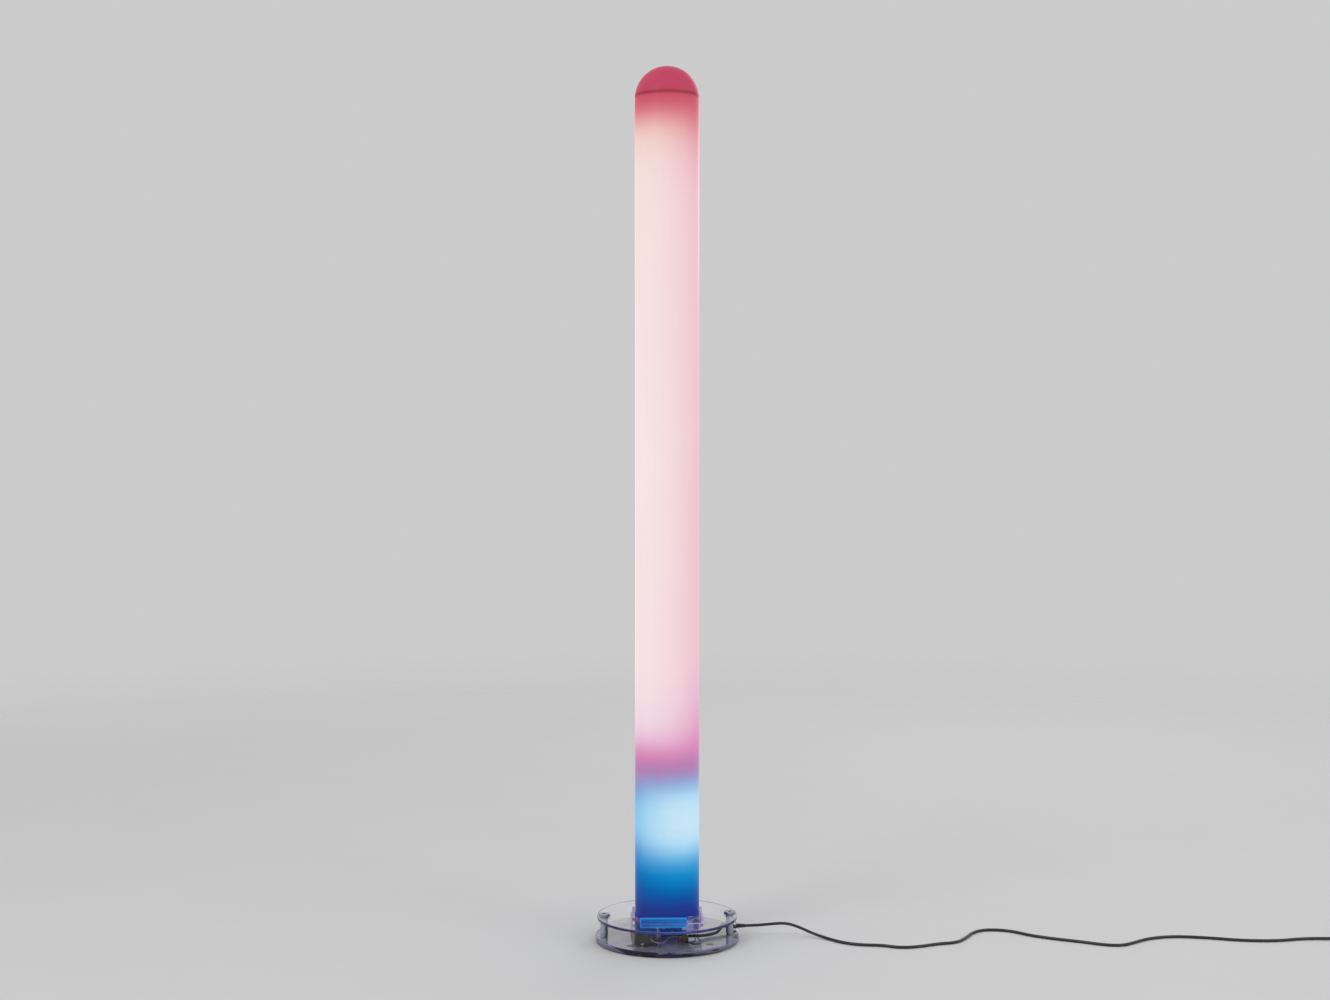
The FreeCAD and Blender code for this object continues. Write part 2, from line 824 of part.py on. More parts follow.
def short_lamp_base():
    body = rounded_upright(short_lamp_x, short_lamp_y, short_lamp_bottom, short_base_size, short_base_round)
    nub = centred_block(short_lamp_x, short_lamp_y, short_lamp_bottom - nub_size[2], nub_size)
    return fuse_all([body, nub])


def short_lamp_pins():
    low = short_lamp_bottom - short_pin_length
    return [rod(short_pin_diameter, low, short_lamp_bottom, x, short_lamp_y) for x in short_pin_places()]


def short_lamp_glass():
    """Two glass tubes with round tips, joined by a short bridge near the top."""
    radius = short_glass_diameter / 2
    shoulder = short_glass_bottom + short_glass_length - radius
    outer = []
    inner = []
    for side in (-1, 1):
        x = short_lamp_x + side * short_glass_spacing / 2
        outer.append(rod(2 * radius, short_glass_bottom, shoulder, x, short_lamp_y))
        outer.append(Part.makeSphere(radius, V(x, short_lamp_y, shoulder)))
        bore = radius - short_glass_wall
        inner.append(rod(2 * bore, short_glass_bottom, shoulder, x, short_lamp_y))
        inner.append(Part.makeSphere(bore, V(x, short_lamp_y, shoulder)))
    z = shoulder - short_bridge_drop
    left = short_lamp_x - short_glass_spacing / 2
    right = short_lamp_x + short_glass_spacing / 2
    outer.append(rod_x(short_bridge_diameter, left, right, short_lamp_y, z))
    inner.append(rod_x(short_bridge_diameter - 2 * short_glass_wall, left, right, short_lamp_y, z))
    return fuse_all(outer).cut(fuse_all(inner))


# --- control gear, terminal block, switch ------------------------------------------
def gear_layout():
    return [
        (main_gear_x, main_gear_y, main_gear_length, main_tab_shift),
        (small_gear_x, small_gear_y, small_gear_length, small_tab_shift),
    ]


def gear_case(x, y, length, shift):
    """A steel case on a base sheet whose two tabs are screwed to the lower disc."""
    core_length = length - 2 * gear_end_length
    core = centred_block(x, y, lower_top, (gear_width, core_length, gear_height))
    top_edges = [e for e in core.Edges if e.BoundBox.ZMin > gear_top - 0.1]
    long_edges = [e for e in top_edges if e.BoundBox.YLength > core_length / 2]
    core = core.makeFillet(gear_edge_round, long_edges)
    sheet = centred_block(x, y, lower_top, (gear_width, length, gear_sheet))
    tab_size = (gear_tab_width, length + 2 * gear_tab_length, gear_sheet)
    tab = centred_block(x + shift, y, lower_top, tab_size)
    hole = gear_screw_thread + 2 * hole_clearance
    holes = []
    for side in (-1, 1):
        place = y + side * (length + gear_tab_length) / 2
        holes.append(rod(hole, lower_top, lower_top + gear_sheet, x + shift, place))
    return cut_all(fuse_all([core, sheet, tab]), holes)


def gear_end_blocks():
    """Plastic connector blocks at the ends of both gear cases."""
    width = gear_width - 2 * gear_block_inset
    height = gear_height - gear_sheet - gear_block_inset
    press_bottom = gear_top - gear_block_inset - press_size[2]
    shapes = []
    for x, y, length, shift in gear_layout():
        for side in (-1, 1):
            middle = y + side * (length - gear_end_length) / 2
            body = centred_block(x, middle, lower_top + gear_sheet, (width, gear_end_length, height))
            press_y = y + side * (length - press_size[1]) / 2
            press_xs = [x + k * press_spacing for k in press_places]
            presses = [centred_block(press_x, press_y, press_bottom, press_size) for press_x in press_xs]
            shapes.append(cut_all(body, presses))
    return shapes


def gear_screws():
    shapes = []
    head_bottom = lower_top + gear_sheet
    for x, y in gear_screw_places():
        shank = rod(gear_screw_thread, lower_top - gear_screw_reach, head_bottom, x, y)
        head = rod(gear_screw_head, head_bottom, head_bottom + gear_screw_head_height, x, y)
        head = head.makeFillet(gear_screw_head_round, [head.Edges[0]])
        shapes.append(fuse_all([shank, head]))
    return shapes


def block_screw_places():
    places = []
    for x in (block_x - block_pole_spacing / 2, block_x + block_pole_spacing / 2):
        for y in (block_y - block_screw_rows / 2, block_y + block_screw_rows / 2):
            places.append((x, y))
    return places


def terminal_block():
    body = centred_block(block_x, block_y, lower_top, block_size)
    top = lower_top + block_size[2]
    top_edges = [e for e in body.Edges if e.BoundBox.ZMin > top - 0.1]
    body = body.makeChamfer(block_edge_break, top_edges)
    well = block_screw_diameter + 2 * hole_clearance
    return cut_all(body, [rod(well, top - block_well_depth, top, x, y) for x, y in block_screw_places()])


def terminal_screws():
    well_bottom = lower_top + block_size[2] - block_well_depth
    top = well_bottom + block_screw_length
    slot_size = (block_screw_diameter, block_slot_width, block_slot_depth)
    shapes = []
    for x, y in block_screw_places():
        screw = rod(block_screw_diameter, well_bottom, top, x, y)
        shapes.append(screw.cut(centred_block(x, y, top - block_slot_depth, slot_size)))
    return shapes


def switch_body():
    top = upper_top + switch_bezel_height
    bezel = rod(switch_bezel_diameter, upper_top, top, switch_x, switch_y)
    bezel = bezel.makeChamfer(switch_edge_break, [bezel.Edges[0]])
    barrel = rod(switch_barrel_diameter, upper_top - switch_barrel_length, upper_top, switch_x, switch_y)
    button_bottom = top + button_rise - button_length
    bore_bottom = button_bottom - button_travel - button_end_gap
    bore = rod(button_diameter + 2 * button_clearance, bore_bottom, top, switch_x, switch_y)
    return fuse_all([bezel, barrel]).cut(bore)


def switch_button():
    top = upper_top + switch_bezel_height + button_rise
    shape = rod(button_diameter, top - button_length, top, switch_x, switch_y)
    return shape.makeFillet(button_edge_round, [shape.Edges[0]])


def switch_nut():
    low = upper_bottom - switch_nut_height
    nut = hexagon(switch_nut_flats, low, upper_bottom, switch_x, switch_y)
    return nut.cut(rod(switch_barrel_diameter + 2 * thread_clearance, low, upper_bottom, switch_x, switch_y))


def switch_tab_places():
    return [switch_x + side * switch_tab_spacing / 2 for side in (-1, 1)]


def switch_tabs():
    low = upper_top - switch_barrel_length - switch_tab_size[2]
    return [centred_block(x, switch_y, low, switch_tab_size) for x in switch_tab_places()]


# --- leads inside the lamp ---------------------------------------------------------
def u_turn(start_x, end_x, face_y, reach):
    """The first points of a lead that leaves a gear case and turns back beside it."""
    far = face_y + reach
    return [V(start_x, face_y, gear_lead_z), V(start_x, far, gear_lead_z), V(end_x, far, gear_lead_z)]


def lamp_leads():
    """Three leads: from the gear up through the grommet and the channel to the holders."""
    y = lead_hole_y
    low = gear_lead_z
    far_end = main_gear_y + main_gear_length / 2
    near_end = small_gear_y - small_gear_length / 2
    exits = lamp_lead_exits()
    x0, x1, x2 = [x for x, z in exits]
    upper = u_turn(upper_lead_start_x, x0, far_end, upper_lead_turn)
    upper += [V(x0, y, low), V(x0, y, exits[0][1]), V(x0, web_front, exits[0][1])]
    lower = u_turn(lower_lead_start_x, x1, far_end, lower_lead_turn)
    lower += [V(x1, y, low), V(x1, y, exits[1][1]), V(x1, web_front, exits[1][1])]
    short = u_turn(short_lead_start_x, x2, near_end, -short_lead_turn)
    short += [V(x2, y, low), V(x2, y, exits[2][1]), V(x2, short_lamp_y, exits[2][1])]
    short += [V(short_lamp_x, short_lamp_y, z) for z in (exits[2][1], bracket_top)]
    return [
        lead(upper, lamp_lead_diameter, upper_lead_bends),
        lead(lower, lamp_lead_diameter, lower_lead_bends),
        lead(short, lamp_lead_diameter, short_lead_bends),
    ]


def gear_leads():
    """White leads from the terminal block to both gear cases."""
    left = block_x - block_size[0] / 2
    back = block_y + block_size[1] / 2
    main_end = main_gear_y - main_gear_length / 2
    small_end = small_gear_y - small_gear_length / 2
    first = main_gear_lead_route[0]
    to_main = [V(left, first.y, first.z)] + main_gear_lead_route
    to_main.append(V(main_gear_lead_route[-1].x, main_end, gear_lead_z))
    to_small = [V(block_x, back, small_gear_lead_route[0].z)] + small_gear_lead_route
    to_small.append(V(small_gear_lead_route[-1].x, small_end, gear_lead_z))
    return [lead(to_main, gear_lead_diameter), lead(to_small, gear_lead_diameter)]


def switch_leads():
    """Black leads that hang from the switch in a loop and end in the terminal block."""
    front = block_y - block_size[1] / 2
    low = upper_top - switch_barrel_length - switch_tab_size[2]
    left, right = switch_tab_places()
    outer = [V(right, switch_y, low), V(right, switch_y, outer_switch_lead_level)] + outer_switch_lead_route
    outer.append(V(block_x + block_pole_spacing / 2, front, block_front_level))
    inner = [V(left, switch_y, low), V(left, switch_y, inner_switch_lead_level)] + inner_switch_lead_route
    inner.append(V(block_x - block_pole_spacing / 2, front, block_front_level))
    return [lead(points, switch_lead_diameter) for points in (outer, inner)]


# --- mains cord --------------------------------------------------------------------
def cord_bracket():
    x, y, z = cord_bracket_x, exit_y, exit_z
    size = (cord_bracket_thickness, cord_bracket_width, cord_bracket_height)
    plate = centred_block(x + cord_bracket_thickness / 2, y, lower_top, size)
    top_edges = [e for e in plate.Edges if e.BoundBox.XLength > 1 and e.BoundBox.ZMin > lower_top + 1]
    plate = plate.makeFillet(cord_bracket_round, top_edges)
    hole = relief_neck_diameter + 2 * relief_fit
    return plate.cut(rod_x(hole, x, x + cord_bracket_thickness, y, z))


def cord_relief():
    """A rubber strain relief: a neck through the bracket and a tapered boot with a collar."""
    outside = cord_bracket_x + cord_bracket_thickness
    collar_start = outside + relief_collar_place
    neck = rod_x(relief_neck_diameter, relief_start, outside, exit_y, exit_z)
    collar = rod_x(relief_collar_diameter, collar_start, collar_start + relief_collar_length, exit_y, exit_z)
    boot = Part.makeCone(relief_boot_diameter / 2, relief_tip_diameter / 2, relief_boot_length,
                         V(outside, exit_y, exit_z), V(1, 0, 0))
    return fuse_all([neck, boot, collar])


def inner_lead():
    wire, radii = rounded_path(inner_route)
    solid = tube_along(wire, cord_diameter, inner_route[0], inner_route[1] - inner_route[0])
    print_cord("inner_lead", wire, solid, radii)
    return solid


def cord_free():
    wire, radii = rounded_path(free_route)
    solid = tube_along(wire, cord_diameter, free_route[0], V(1, 0, 0))
    print_cord("cord_free", wire, solid, radii)
    return solid


def coil_inner_radius():
    """Radius of the half turn that climbs; drawn in a little to clear its neighbours."""
    return coil_outer_radius - coil_half_turns * coil_turn_pitch / 2 - coil_climb_inset


def coil_turn_points():
    """Half-turn points of the coil: inwards on the floor, up a layer, and outwards on top."""
    inwards = [coil_outer_radius - k * coil_turn_pitch / 2 for k in range(coil_half_turns)]
    inwards.append(coil_inner_radius())
    radii = inwards + inwards[::-1]
    heights = [coil_z] * len(inwards) + [coil_z + coil_layer_pitch] * len(inwards)
    points = []
    for index, (radius, height) in enumerate(zip(radii, heights)):
        side = -1 if index % 2 == 0 else 1
        points.append(V(coil_x, coil_y + side * radius, height))
    return points


def half_turn_arcs(start, end, heading):
    """Two tangent quarter turns between points whose headings are opposite and level."""
    reach = start.distanceToPoint(end) / 2
    corner_a = start + heading * reach
    corner_b = end + heading * reach
    joint = (corner_a + corner_b) * 0.5
    return [quarter_turn(start, corner_a, joint), quarter_turn(joint, corner_b, end)]


def quarter_turn(start, corner, end):
    to_start = (start - corner).normalize()
    to_end = (end - corner).normalize()
    turn = math.pi - to_start.getAngle(to_end)
    radius = start.distanceToPoint(corner) / math.tan(turn / 2)
    inward = (to_start + to_end).normalize()
    middle = corner + inward * (radius / math.cos(turn / 2) - radius)
    return Part.Arc(start, middle, end).toShape()


def coil_edges():
    """The coil's whole centre line, and the point and heading where it ends."""
    points = coil_turn_points()
    first = V(coil_start_x, coil_start_y, coil_z)
    edges = [Part.LineSegment(first, points[0]).toShape()]
    heading = V(1, 0, 0)
    for start, end in zip(points, points[1:]):
        edges += half_turn_arcs(start, end, heading)
        heading = heading * -1
    edges.pop()
    turn_end = edges[-1].Vertexes[-1].Point
    coil_end = turn_end + V(0, cord_diameter, 0)
    edges.append(Part.LineSegment(turn_end, coil_end).toShape())
    return edges, coil_end


def least_gap(edges):
    """The least clear distance between turns, measured on points along the centre line."""
    step = 1.5
    points = []
    travelled = 0.0
    for edge in edges:
        count = max(2, int(edge.Length / step))
        for place in edge.discretize(count)[:-1]:
            points.append((travelled, place))
            travelled += edge.Length / (count - 1)
    apart = math.pi * cord_diameter
    least = coil_outer_radius
    for index, (travel_a, a) in enumerate(points):
        for travel_b, b in points[index + 1:]:
            if travel_b - travel_a > apart:
                least = min(least, a.distanceToPoint(b))
    return least - cord_diameter


def cord_coil():
    edges, coil_end = coil_edges()
    wire = Part.Wire(edges)
    solid = tube_along(wire, cord_diameter, edges[0].Vertexes[0].Point, V(1, 0, 0))
    print_cord("cord_coil", wire, solid, [])
    print("cord_coil least gap to itself: %.2f mm" % least_gap(edges))
    return solid


def coil_tie():
    """A flat band round all the turns on the coil's left side."""
    inner = coil_inner_radius()
    x0 = coil_x - coil_outer_radius - cord_radius - tie_gap
    x1 = coil_x - inner + cord_radius + tie_gap
    z0 = coil_z - cord_radius - tie_gap
    z1 = coil_z + coil_layer_pitch + cord_radius + tie_gap
    y0 = coil_y - tie_width / 2
    y1 = coil_y + tie_width / 2
    outer = block(x0 - tie_thickness, x1 + tie_thickness, y0, y1, z0 - tie_thickness, z1 + tie_thickness)
    return outer.cut(block(x0, x1, y0, y1, z0, z1))


def tail_route():
    """From the coil's end down to the plug's neck, level at both ends."""
    edges, start = coil_edges()
    level = plug_thickness / 2
    last = start.y + tail_length
    return [
        start,
        V(start.x, start.y + tail_level_run, start.z),
        V(start.x, last - tail_level_run, level),
        V(start.x, last, level),
    ]


def cord_tail():
    wire, radii = rounded_path(tail_route())
    solid = tube_along(wire, cord_diameter, tail_route()[0], V(0, 1, 0))
    print_cord("cord_tail", wire, solid, radii)
    return solid


def plug_start():
    return tail_route()[-1]


def oblong(width, thickness, x, y, z):
    """A rounded rectangle in a plane across Y, as a wire."""
    half_w = width / 2
    half_t = thickness / 2
    corners = [(-half_w, -half_t), (half_w, -half_t), (half_w, half_t), (-half_w, half_t)]
    points = [V(x + a, y, z + b) for a, b in corners]
    face = Part.Wire(Part.makePolygon(points + [points[0]]))
    solid = Part.Face(face).extrude(V(0, 1, 0))
    solid = solid.makeFillet(plug_edge_round, [e for e in solid.Edges if e.BoundBox.YLength > 0.5])
    ends = [f for f in solid.Faces if f.BoundBox.YMax < y + 1e-6]
    return ends[0].OuterWire


def plug_body():
    """A flat two-pin plug: ribbed neck, tapered shoulder and a rounded body."""
    start = plug_start()
    x, z = start.x, start.z
    neck_end = start.y + plug_relief_length
    shoulder_end = neck_end + plug_shoulder_length
    body_end = shoulder_end + plug_body_length
    neck = Part.makeCone(plug_relief_tip / 2, plug_neck_thickness / 2, plug_relief_length, start, V(0, 1, 0))
    grooves = []
    for k in range(plug_groove_count):
        low = start.y + plug_groove_pitch * (k + 1)
        high = low + plug_groove_width
        core = rod_y(plug_groove_core, low, high, x, z)
        grooves.append(rod_y(plug_width, low, high, x, z).cut(core))
    shoulder = Part.makeLoft([
        oblong(plug_neck_width, plug_neck_thickness, x, neck_end, z),
        oblong(plug_width, plug_thickness, x, shoulder_end, z),
    ], True, True)
    outline = Part.Face(oblong(plug_width, plug_thickness, x, shoulder_end, z))
    body = outline.extrude(V(0, plug_body_length, 0))
    rim = [e for e in body.Edges if e.BoundBox.YMin > body_end - 0.1]
    body = body.makeChamfer(plug_edge_break, rim)
    sleeve_end = body_end + plug_sleeve_length
    sleeves = [rod_y(plug_sleeve_diameter, body_end, sleeve_end, px, z) for px in plug_pin_places()]
    return fuse_all([cut_all(neck, grooves), shoulder, body] + sleeves)


def plug_pin_places():
    x = plug_start().x
    return [x + side * plug_pin_spacing / 2 for side in (-1, 1)]


def plug_pins():
    start = plug_start()
    face = start.y + plug_relief_length + plug_shoulder_length + plug_body_length
    low = face + plug_sleeve_length
    high = face + plug_pin_length
    shapes = []
    for x in plug_pin_places():
        pin = rod_y(plug_pin_diameter, low, high, x, start.z)
        tip = [e for e in pin.Edges if e.Closed and e.BoundBox.YMin > high - 0.1]
        shapes.append(pin.makeFillet(plug_pin_round, tip))
    return shapes


def all_nodes():
    nodes = {
        "foot_pads": foot_pads(),
        "lower_disc": [lower_disc()],
        "upper_disc": [upper_disc()],
        "spacers": spacers(),
        "base_screws": base_screws(),
        "cap_screws": cap_screws(),
        "diffuser_tube": [diffuser_tube()],
        "dome_cap": [dome_cap()],
        "dome_ring": [dome_ring()],
        "foot_plate": [foot_plate()],
        "foot_screws": foot_screws(),
        "foot_nuts": foot_nuts(),
        "lead_grommet": [lead_grommet()],
        "lamp_channel": [channel()],
        "lower_lampholder": [lampholder(lower_face - holder_height, True)],
        "upper_lampholder": [lampholder(upper_face, False)],
        "lower_rotor": [rotor(lower_face, True)],
        "upper_rotor": [rotor(upper_face, False)],
        "long_lamp_glass": [long_lamp_glass()],
        "long_lamp_caps": long_lamp_caps(),
        "long_lamp_pins": long_lamp_pins(),
        "holder_screws": panel_screws(holder_screw_places(), holder_screw_reach),
        "bracket_screws": panel_screws(bracket_screw_places(), bracket_sheet),
        "short_lamp_bracket": [short_lamp_bracket()],
        "short_lamp_holder": [short_lamp_holder()],
        "short_lamp_base": [short_lamp_base()],
        "short_lamp_pins": short_lamp_pins(),
        "short_lamp_glass": [short_lamp_glass()],
        "main_gear_case": [gear_case(*gear_layout()[0])],
        "small_gear_case": [gear_case(*gear_layout()[1])],
        "gear_end_blocks": gear_end_blocks(),
        "gear_screws": gear_screws(),
        "terminal_block": [terminal_block()],
        "terminal_screws": terminal_screws(),
        "switch_body": [switch_body()],
        "switch_button": [switch_button()],
        "switch_nut": [switch_nut()],
        "switch_tabs": switch_tabs(),
        "lamp_leads": lamp_leads(),
        "gear_leads": gear_leads(),
        "switch_leads": switch_leads(),
        "inner_mains_lead": [inner_lead()],
        "cord_bracket": [cord_bracket()],
        "cord_relief": [cord_relief()],
        "cord_free": [cord_free()],
        "cord_coil": [cord_coil()],
        "cord_tail": [cord_tail()],
        "coil_tie": [coil_tie()],
        "plug_body": [plug_body()],
        "plug_pins": plug_pins(),
    }
    nodes.update({name: [shape] for name, shape in locating_plates().items()})
    return nodes


def write_part():
    os.makedirs("parts", exist_ok=True)
    for name, shapes in all_nodes().items():
        solids = [solid for shape in shapes for solid in shape.Solids]
        shape = solids[0] if len(solids) == 1 else Part.Compound(solids)
        if not shape.isValid():
            print("not valid:", name)
        shape.exportStep("parts/%s.step" % name)
        print("%-20s %d solid(s)" % (name, len(solids)))


write_part()
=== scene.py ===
import json
import math

import bmesh
import bpy
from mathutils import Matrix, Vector

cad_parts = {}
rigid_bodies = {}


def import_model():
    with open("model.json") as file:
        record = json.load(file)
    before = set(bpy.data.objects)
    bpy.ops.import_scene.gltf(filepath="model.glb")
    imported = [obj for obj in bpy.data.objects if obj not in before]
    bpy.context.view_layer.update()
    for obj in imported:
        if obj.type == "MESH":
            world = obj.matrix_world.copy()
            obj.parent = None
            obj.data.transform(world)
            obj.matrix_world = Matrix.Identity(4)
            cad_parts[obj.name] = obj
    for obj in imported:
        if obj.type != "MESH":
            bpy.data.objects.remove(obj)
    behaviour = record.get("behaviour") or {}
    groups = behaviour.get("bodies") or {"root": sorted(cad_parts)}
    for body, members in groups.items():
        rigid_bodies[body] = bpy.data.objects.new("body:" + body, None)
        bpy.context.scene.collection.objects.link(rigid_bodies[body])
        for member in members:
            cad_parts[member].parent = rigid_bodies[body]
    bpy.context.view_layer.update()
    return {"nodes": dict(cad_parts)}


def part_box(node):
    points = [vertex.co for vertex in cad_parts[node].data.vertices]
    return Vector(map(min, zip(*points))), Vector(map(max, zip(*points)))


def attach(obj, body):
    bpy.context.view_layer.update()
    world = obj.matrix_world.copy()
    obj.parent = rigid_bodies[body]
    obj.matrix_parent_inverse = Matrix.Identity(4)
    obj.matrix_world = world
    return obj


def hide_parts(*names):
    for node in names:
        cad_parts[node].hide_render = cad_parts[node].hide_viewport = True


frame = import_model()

nodes = frame["nodes"]
scene = bpy.context.scene

# The dressed model of a floor lamp: a lit opal tube on a clear two-disc base. Shapes are in
# mm, as in the part's source, and mm() turns them into metres. Materials work in metres,
# in each object's own space.


def mm(*values):
    return Vector([v / 1000 for v in values])


# --- camera ------------------------------------------------------------------------
CAMERA_PLACE = (-0.2941, -3.5398, 0.914)
CAMERA_DOWN = 1.44
CAMERA_TURN = -4.687
CAMERA_LENS = 51.59
SENSOR_WIDTH = 36.0
CLIP_END = 100


def make_camera():
    data = bpy.data.cameras.new("photo_camera")
    data.lens = CAMERA_LENS
    data.sensor_width = SENSOR_WIDTH
    data.clip_end = CLIP_END
    camera = bpy.data.objects.new("photo_camera", data)
    camera.location = CAMERA_PLACE
    camera.rotation_euler = (math.radians(90 - CAMERA_DOWN), 0, math.radians(CAMERA_TURN))
    scene.collection.objects.link(camera)
    scene.camera = camera


make_camera()

# --- mains cord --------------------------------------------------------------------
CORD_RADIUS = 2.75
CORD_Z = CORD_RADIUS + 0.05
EXIT = (148, 10.5, 21)

# The route from the strain relief to the coil.
FREE_ROUTE = [
    (EXIT[0] - 8, EXIT[1], EXIT[2]), (170, 10.5, 21), (196, 7, 24), (226, 5, 26), (252, 5, 17),
    (274, 0, 7), (298, -24, CORD_Z), (323, -59, CORD_Z), (356, -78, CORD_Z), (391, -82, CORD_Z),
    (423, -103, CORD_Z), (458, -98, CORD_Z), (499, -80, CORD_Z), (534, -75, CORD_Z),
    (560, -42, CORD_Z), (580, -6, CORD_Z), (606, 14, CORD_Z), (638, 11, CORD_Z),
    (664, -6, CORD_Z), (684, -34, CORD_Z), (724, -64, CORD_Z), (766, -87, CORD_Z),
    (803, -114, CORD_Z), (833, -121, CORD_Z), (862, -103, CORD_Z), (896, -76, CORD_Z),
    (950, -62, CORD_Z), (1010, -78, CORD_Z), (1070, -104, CORD_Z), (1132, -112, CORD_Z),
    (1192, -98, CORD_Z),
]

# The coil: the radii where its half turns meet, and the half turn that climbs to the
# second layer. STEPS is the number of control points in a half turn.
COIL_X = 1312.0
COIL_Y = -72.0
COIL_Z = 3.85
COIL_RADII = [37, 34, 31, 28, 24, 24, 28, 31, 34, 37]
COIL_LEAD_X = (1251, 1296)
LAYER_PITCH = 6.0
CLIMB_TURN = 4
LAST_TURN = len(COIL_RADII) - 2
STEPS = 7
LAST_STEPS = 4

# The tail from the coil to the plug, which lies beside it.
TAIL_LENGTH = 54.0
TAIL_START = 8.0
TAIL_LEVEL = 15.0
TAIL_END = 3.0
TAIL_X = COIL_X + (COIL_RADII[-2] + COIL_RADII[-1]) / 2
TAIL_Y = COIL_Y + (COIL_RADII[-1] - COIL_RADII[-2]) / 2 + 2 * CORD_RADIUS
PLUG_Y = TAIL_Y + TAIL_LENGTH
PLUG_Z = 6.85


def coil_points():
    """Control points of the coil: half turns whose radius changes at each side.

    The curve runs inside its control points, so swell moves them out by that much."""
    swell = 8 / (6 + 2 * math.cos(math.pi / STEPS))
    points = []
    for index in range(LAST_TURN + 1):
        side = -1 if index % 2 == 0 else 1
        start, end = COIL_RADII[index], COIL_RADII[index + 1]
        radius = swell * (start + end) / 2
        centre_y = COIL_Y + side * (start - end) / 2
        low = COIL_Z if index <= CLIMB_TURN else COIL_Z + LAYER_PITCH
        climb = LAYER_PITCH if index == CLIMB_TURN else 0
        for k in range(LAST_STEPS if index == LAST_TURN else STEPS):
            share = (k + 0.5) / STEPS
            turn = side * math.pi / 2 + math.pi * share
            points.append((COIL_X + radius * math.cos(turn), centre_y + radius * math.sin(turn),
                           low + climb * share))
    return points


def tail_points():
    """Off the coil's second layer and down to the plug."""
    top = COIL_Z + LAYER_PITCH
    return [(TAIL_X, TAIL_Y + TAIL_START, top), (TAIL_X, TAIL_Y + TAIL_LEVEL, top),
            (TAIL_X, PLUG_Y - TAIL_LEVEL, PLUG_Z), (TAIL_X, PLUG_Y + TAIL_END, PLUG_Z)]


def make_cord():
    lead = [(x, COIL_Y - COIL_RADII[0], COIL_Z) for x in COIL_LEAD_X]
    points = FREE_ROUTE + lead + coil_points() + tail_points()
    curve = bpy.data.curves.new("mains_cord", "CURVE")
    curve.dimensions = "3D"
    spline = curve.splines.new("NURBS")
    spline.points.add(len(points) - 1)
    for place, point in zip(spline.points, points):
        place.co = (*mm(*point), 1)
        place.radius = CORD_RADIUS / 1000
    spline.order_u = 3
    spline.use_endpoint_u = True
    spline.resolution_u = 8
    curve.bevel_depth = 1.0
    curve.bevel_resolution = 6
    curve.use_fill_caps = True
    cord = bpy.data.objects.new("mains_cord", curve)
    scene.collection.objects.link(cord)
    return cord


mains_cord = make_cord()


# --- mesh helpers ------------------------------------------------------------------
def finish_mesh(name, bm, smooth=True):
    bmesh.ops.recalc_face_normals(bm, faces=bm.faces)
    mesh = bpy.data.meshes.new(name)
    bm.to_mesh(mesh)
    bm.free()
    if smooth:
        mesh.shade_smooth()
    piece = bpy.data.objects.new(name, mesh)
    scene.collection.objects.link(piece)
    return piece


def bridge(bm, first, second):
    """Faces between two rings with the same number of points."""
    for k in range(len(first)):
        nxt = (k + 1) % len(first)
        bm.faces.new((first[k], first[nxt], second[nxt], second[k]))


def loft(name, sections, axis, origin, count=40):
    """A closed skin through rounded sections along X or Y, from an origin.

    A section is its place, half width, half height and power: 2 is round, and more is squarer."""
    bm = bmesh.new()
    rings = []
    for place, half_w, half_h, power in sections:
        ring = []
        for k in range(count):
            turn = 2 * math.pi * k / count
            c, s = math.cos(turn), math.sin(turn)
            across = half_w * math.copysign(abs(c) ** (2 / power), c)
            up = half_h * math.copysign(abs(s) ** (2 / power), s)
            x, y = (place, across) if axis == "X" else (across, place)
            ring.append(bm.verts.new(mm(origin[0] + x, origin[1] + y, origin[2] + up)))
        rings.append(ring)
    for first, second in zip(rings, rings[1:]):
        bridge(bm, first, second)
    bm.faces.new(rings[0])
    bm.faces.new(rings[-1][::-1])
    return finish_mesh(name, bm)


def sharpen(piece, angle):
    """Keep the edges of a smooth piece sharp where they turn by more than an angle."""
    limit = math.radians(angle)
    bm = bmesh.new()
    bm.from_mesh(piece.data)
    for edge in bm.edges:
        edge.smooth = len(edge.link_faces) == 2 and edge.calc_face_angle() < limit
    bm.to_mesh(piece.data)
    bm.free()


# --- strain relief, tie and plug ---------------------------------------------------
ROUND = 2.0

# Profiles of the strain relief: place along X and radius. A rib's are from its start.
RELIEF_NECK = [(124.0, 3.6), (124.4, 4.0), (129.9, 4.0), (130.05, 4.75)]
RELIEF_RIB = [(0, 0), (0.3, -0.75), (1.3, -0.8), (1.6, -0.1)]
RELIEF_TIP = [(147.4, 3.45), (147.9, 3.2), (148.0, 2.9)]
RIB_COUNT = 5
RIB_START, RIB_PITCH = 131.2, 3.1
RIB_RADIUS, RIB_TAPER = 4.7, 0.26
RELIEF_SHARP = 50


def make_relief():
    """A neck through the bracket, a shoulder and a tapered, ribbed boot."""
    profile = list(RELIEF_NECK)
    for k in range(RIB_COUNT):
        place, radius = RIB_START + RIB_PITCH * k, RIB_RADIUS - RIB_TAPER * k
        profile += [(place + step, radius + proud) for step, proud in RELIEF_RIB]
    profile += RELIEF_TIP
    sections = [(place, radius, radius, ROUND) for place, radius in profile]
    piece = loft("relief_boot", sections, "X", (0, EXIT[1], EXIT[2]))
    sharpen(piece, RELIEF_SHARP)
    return piece


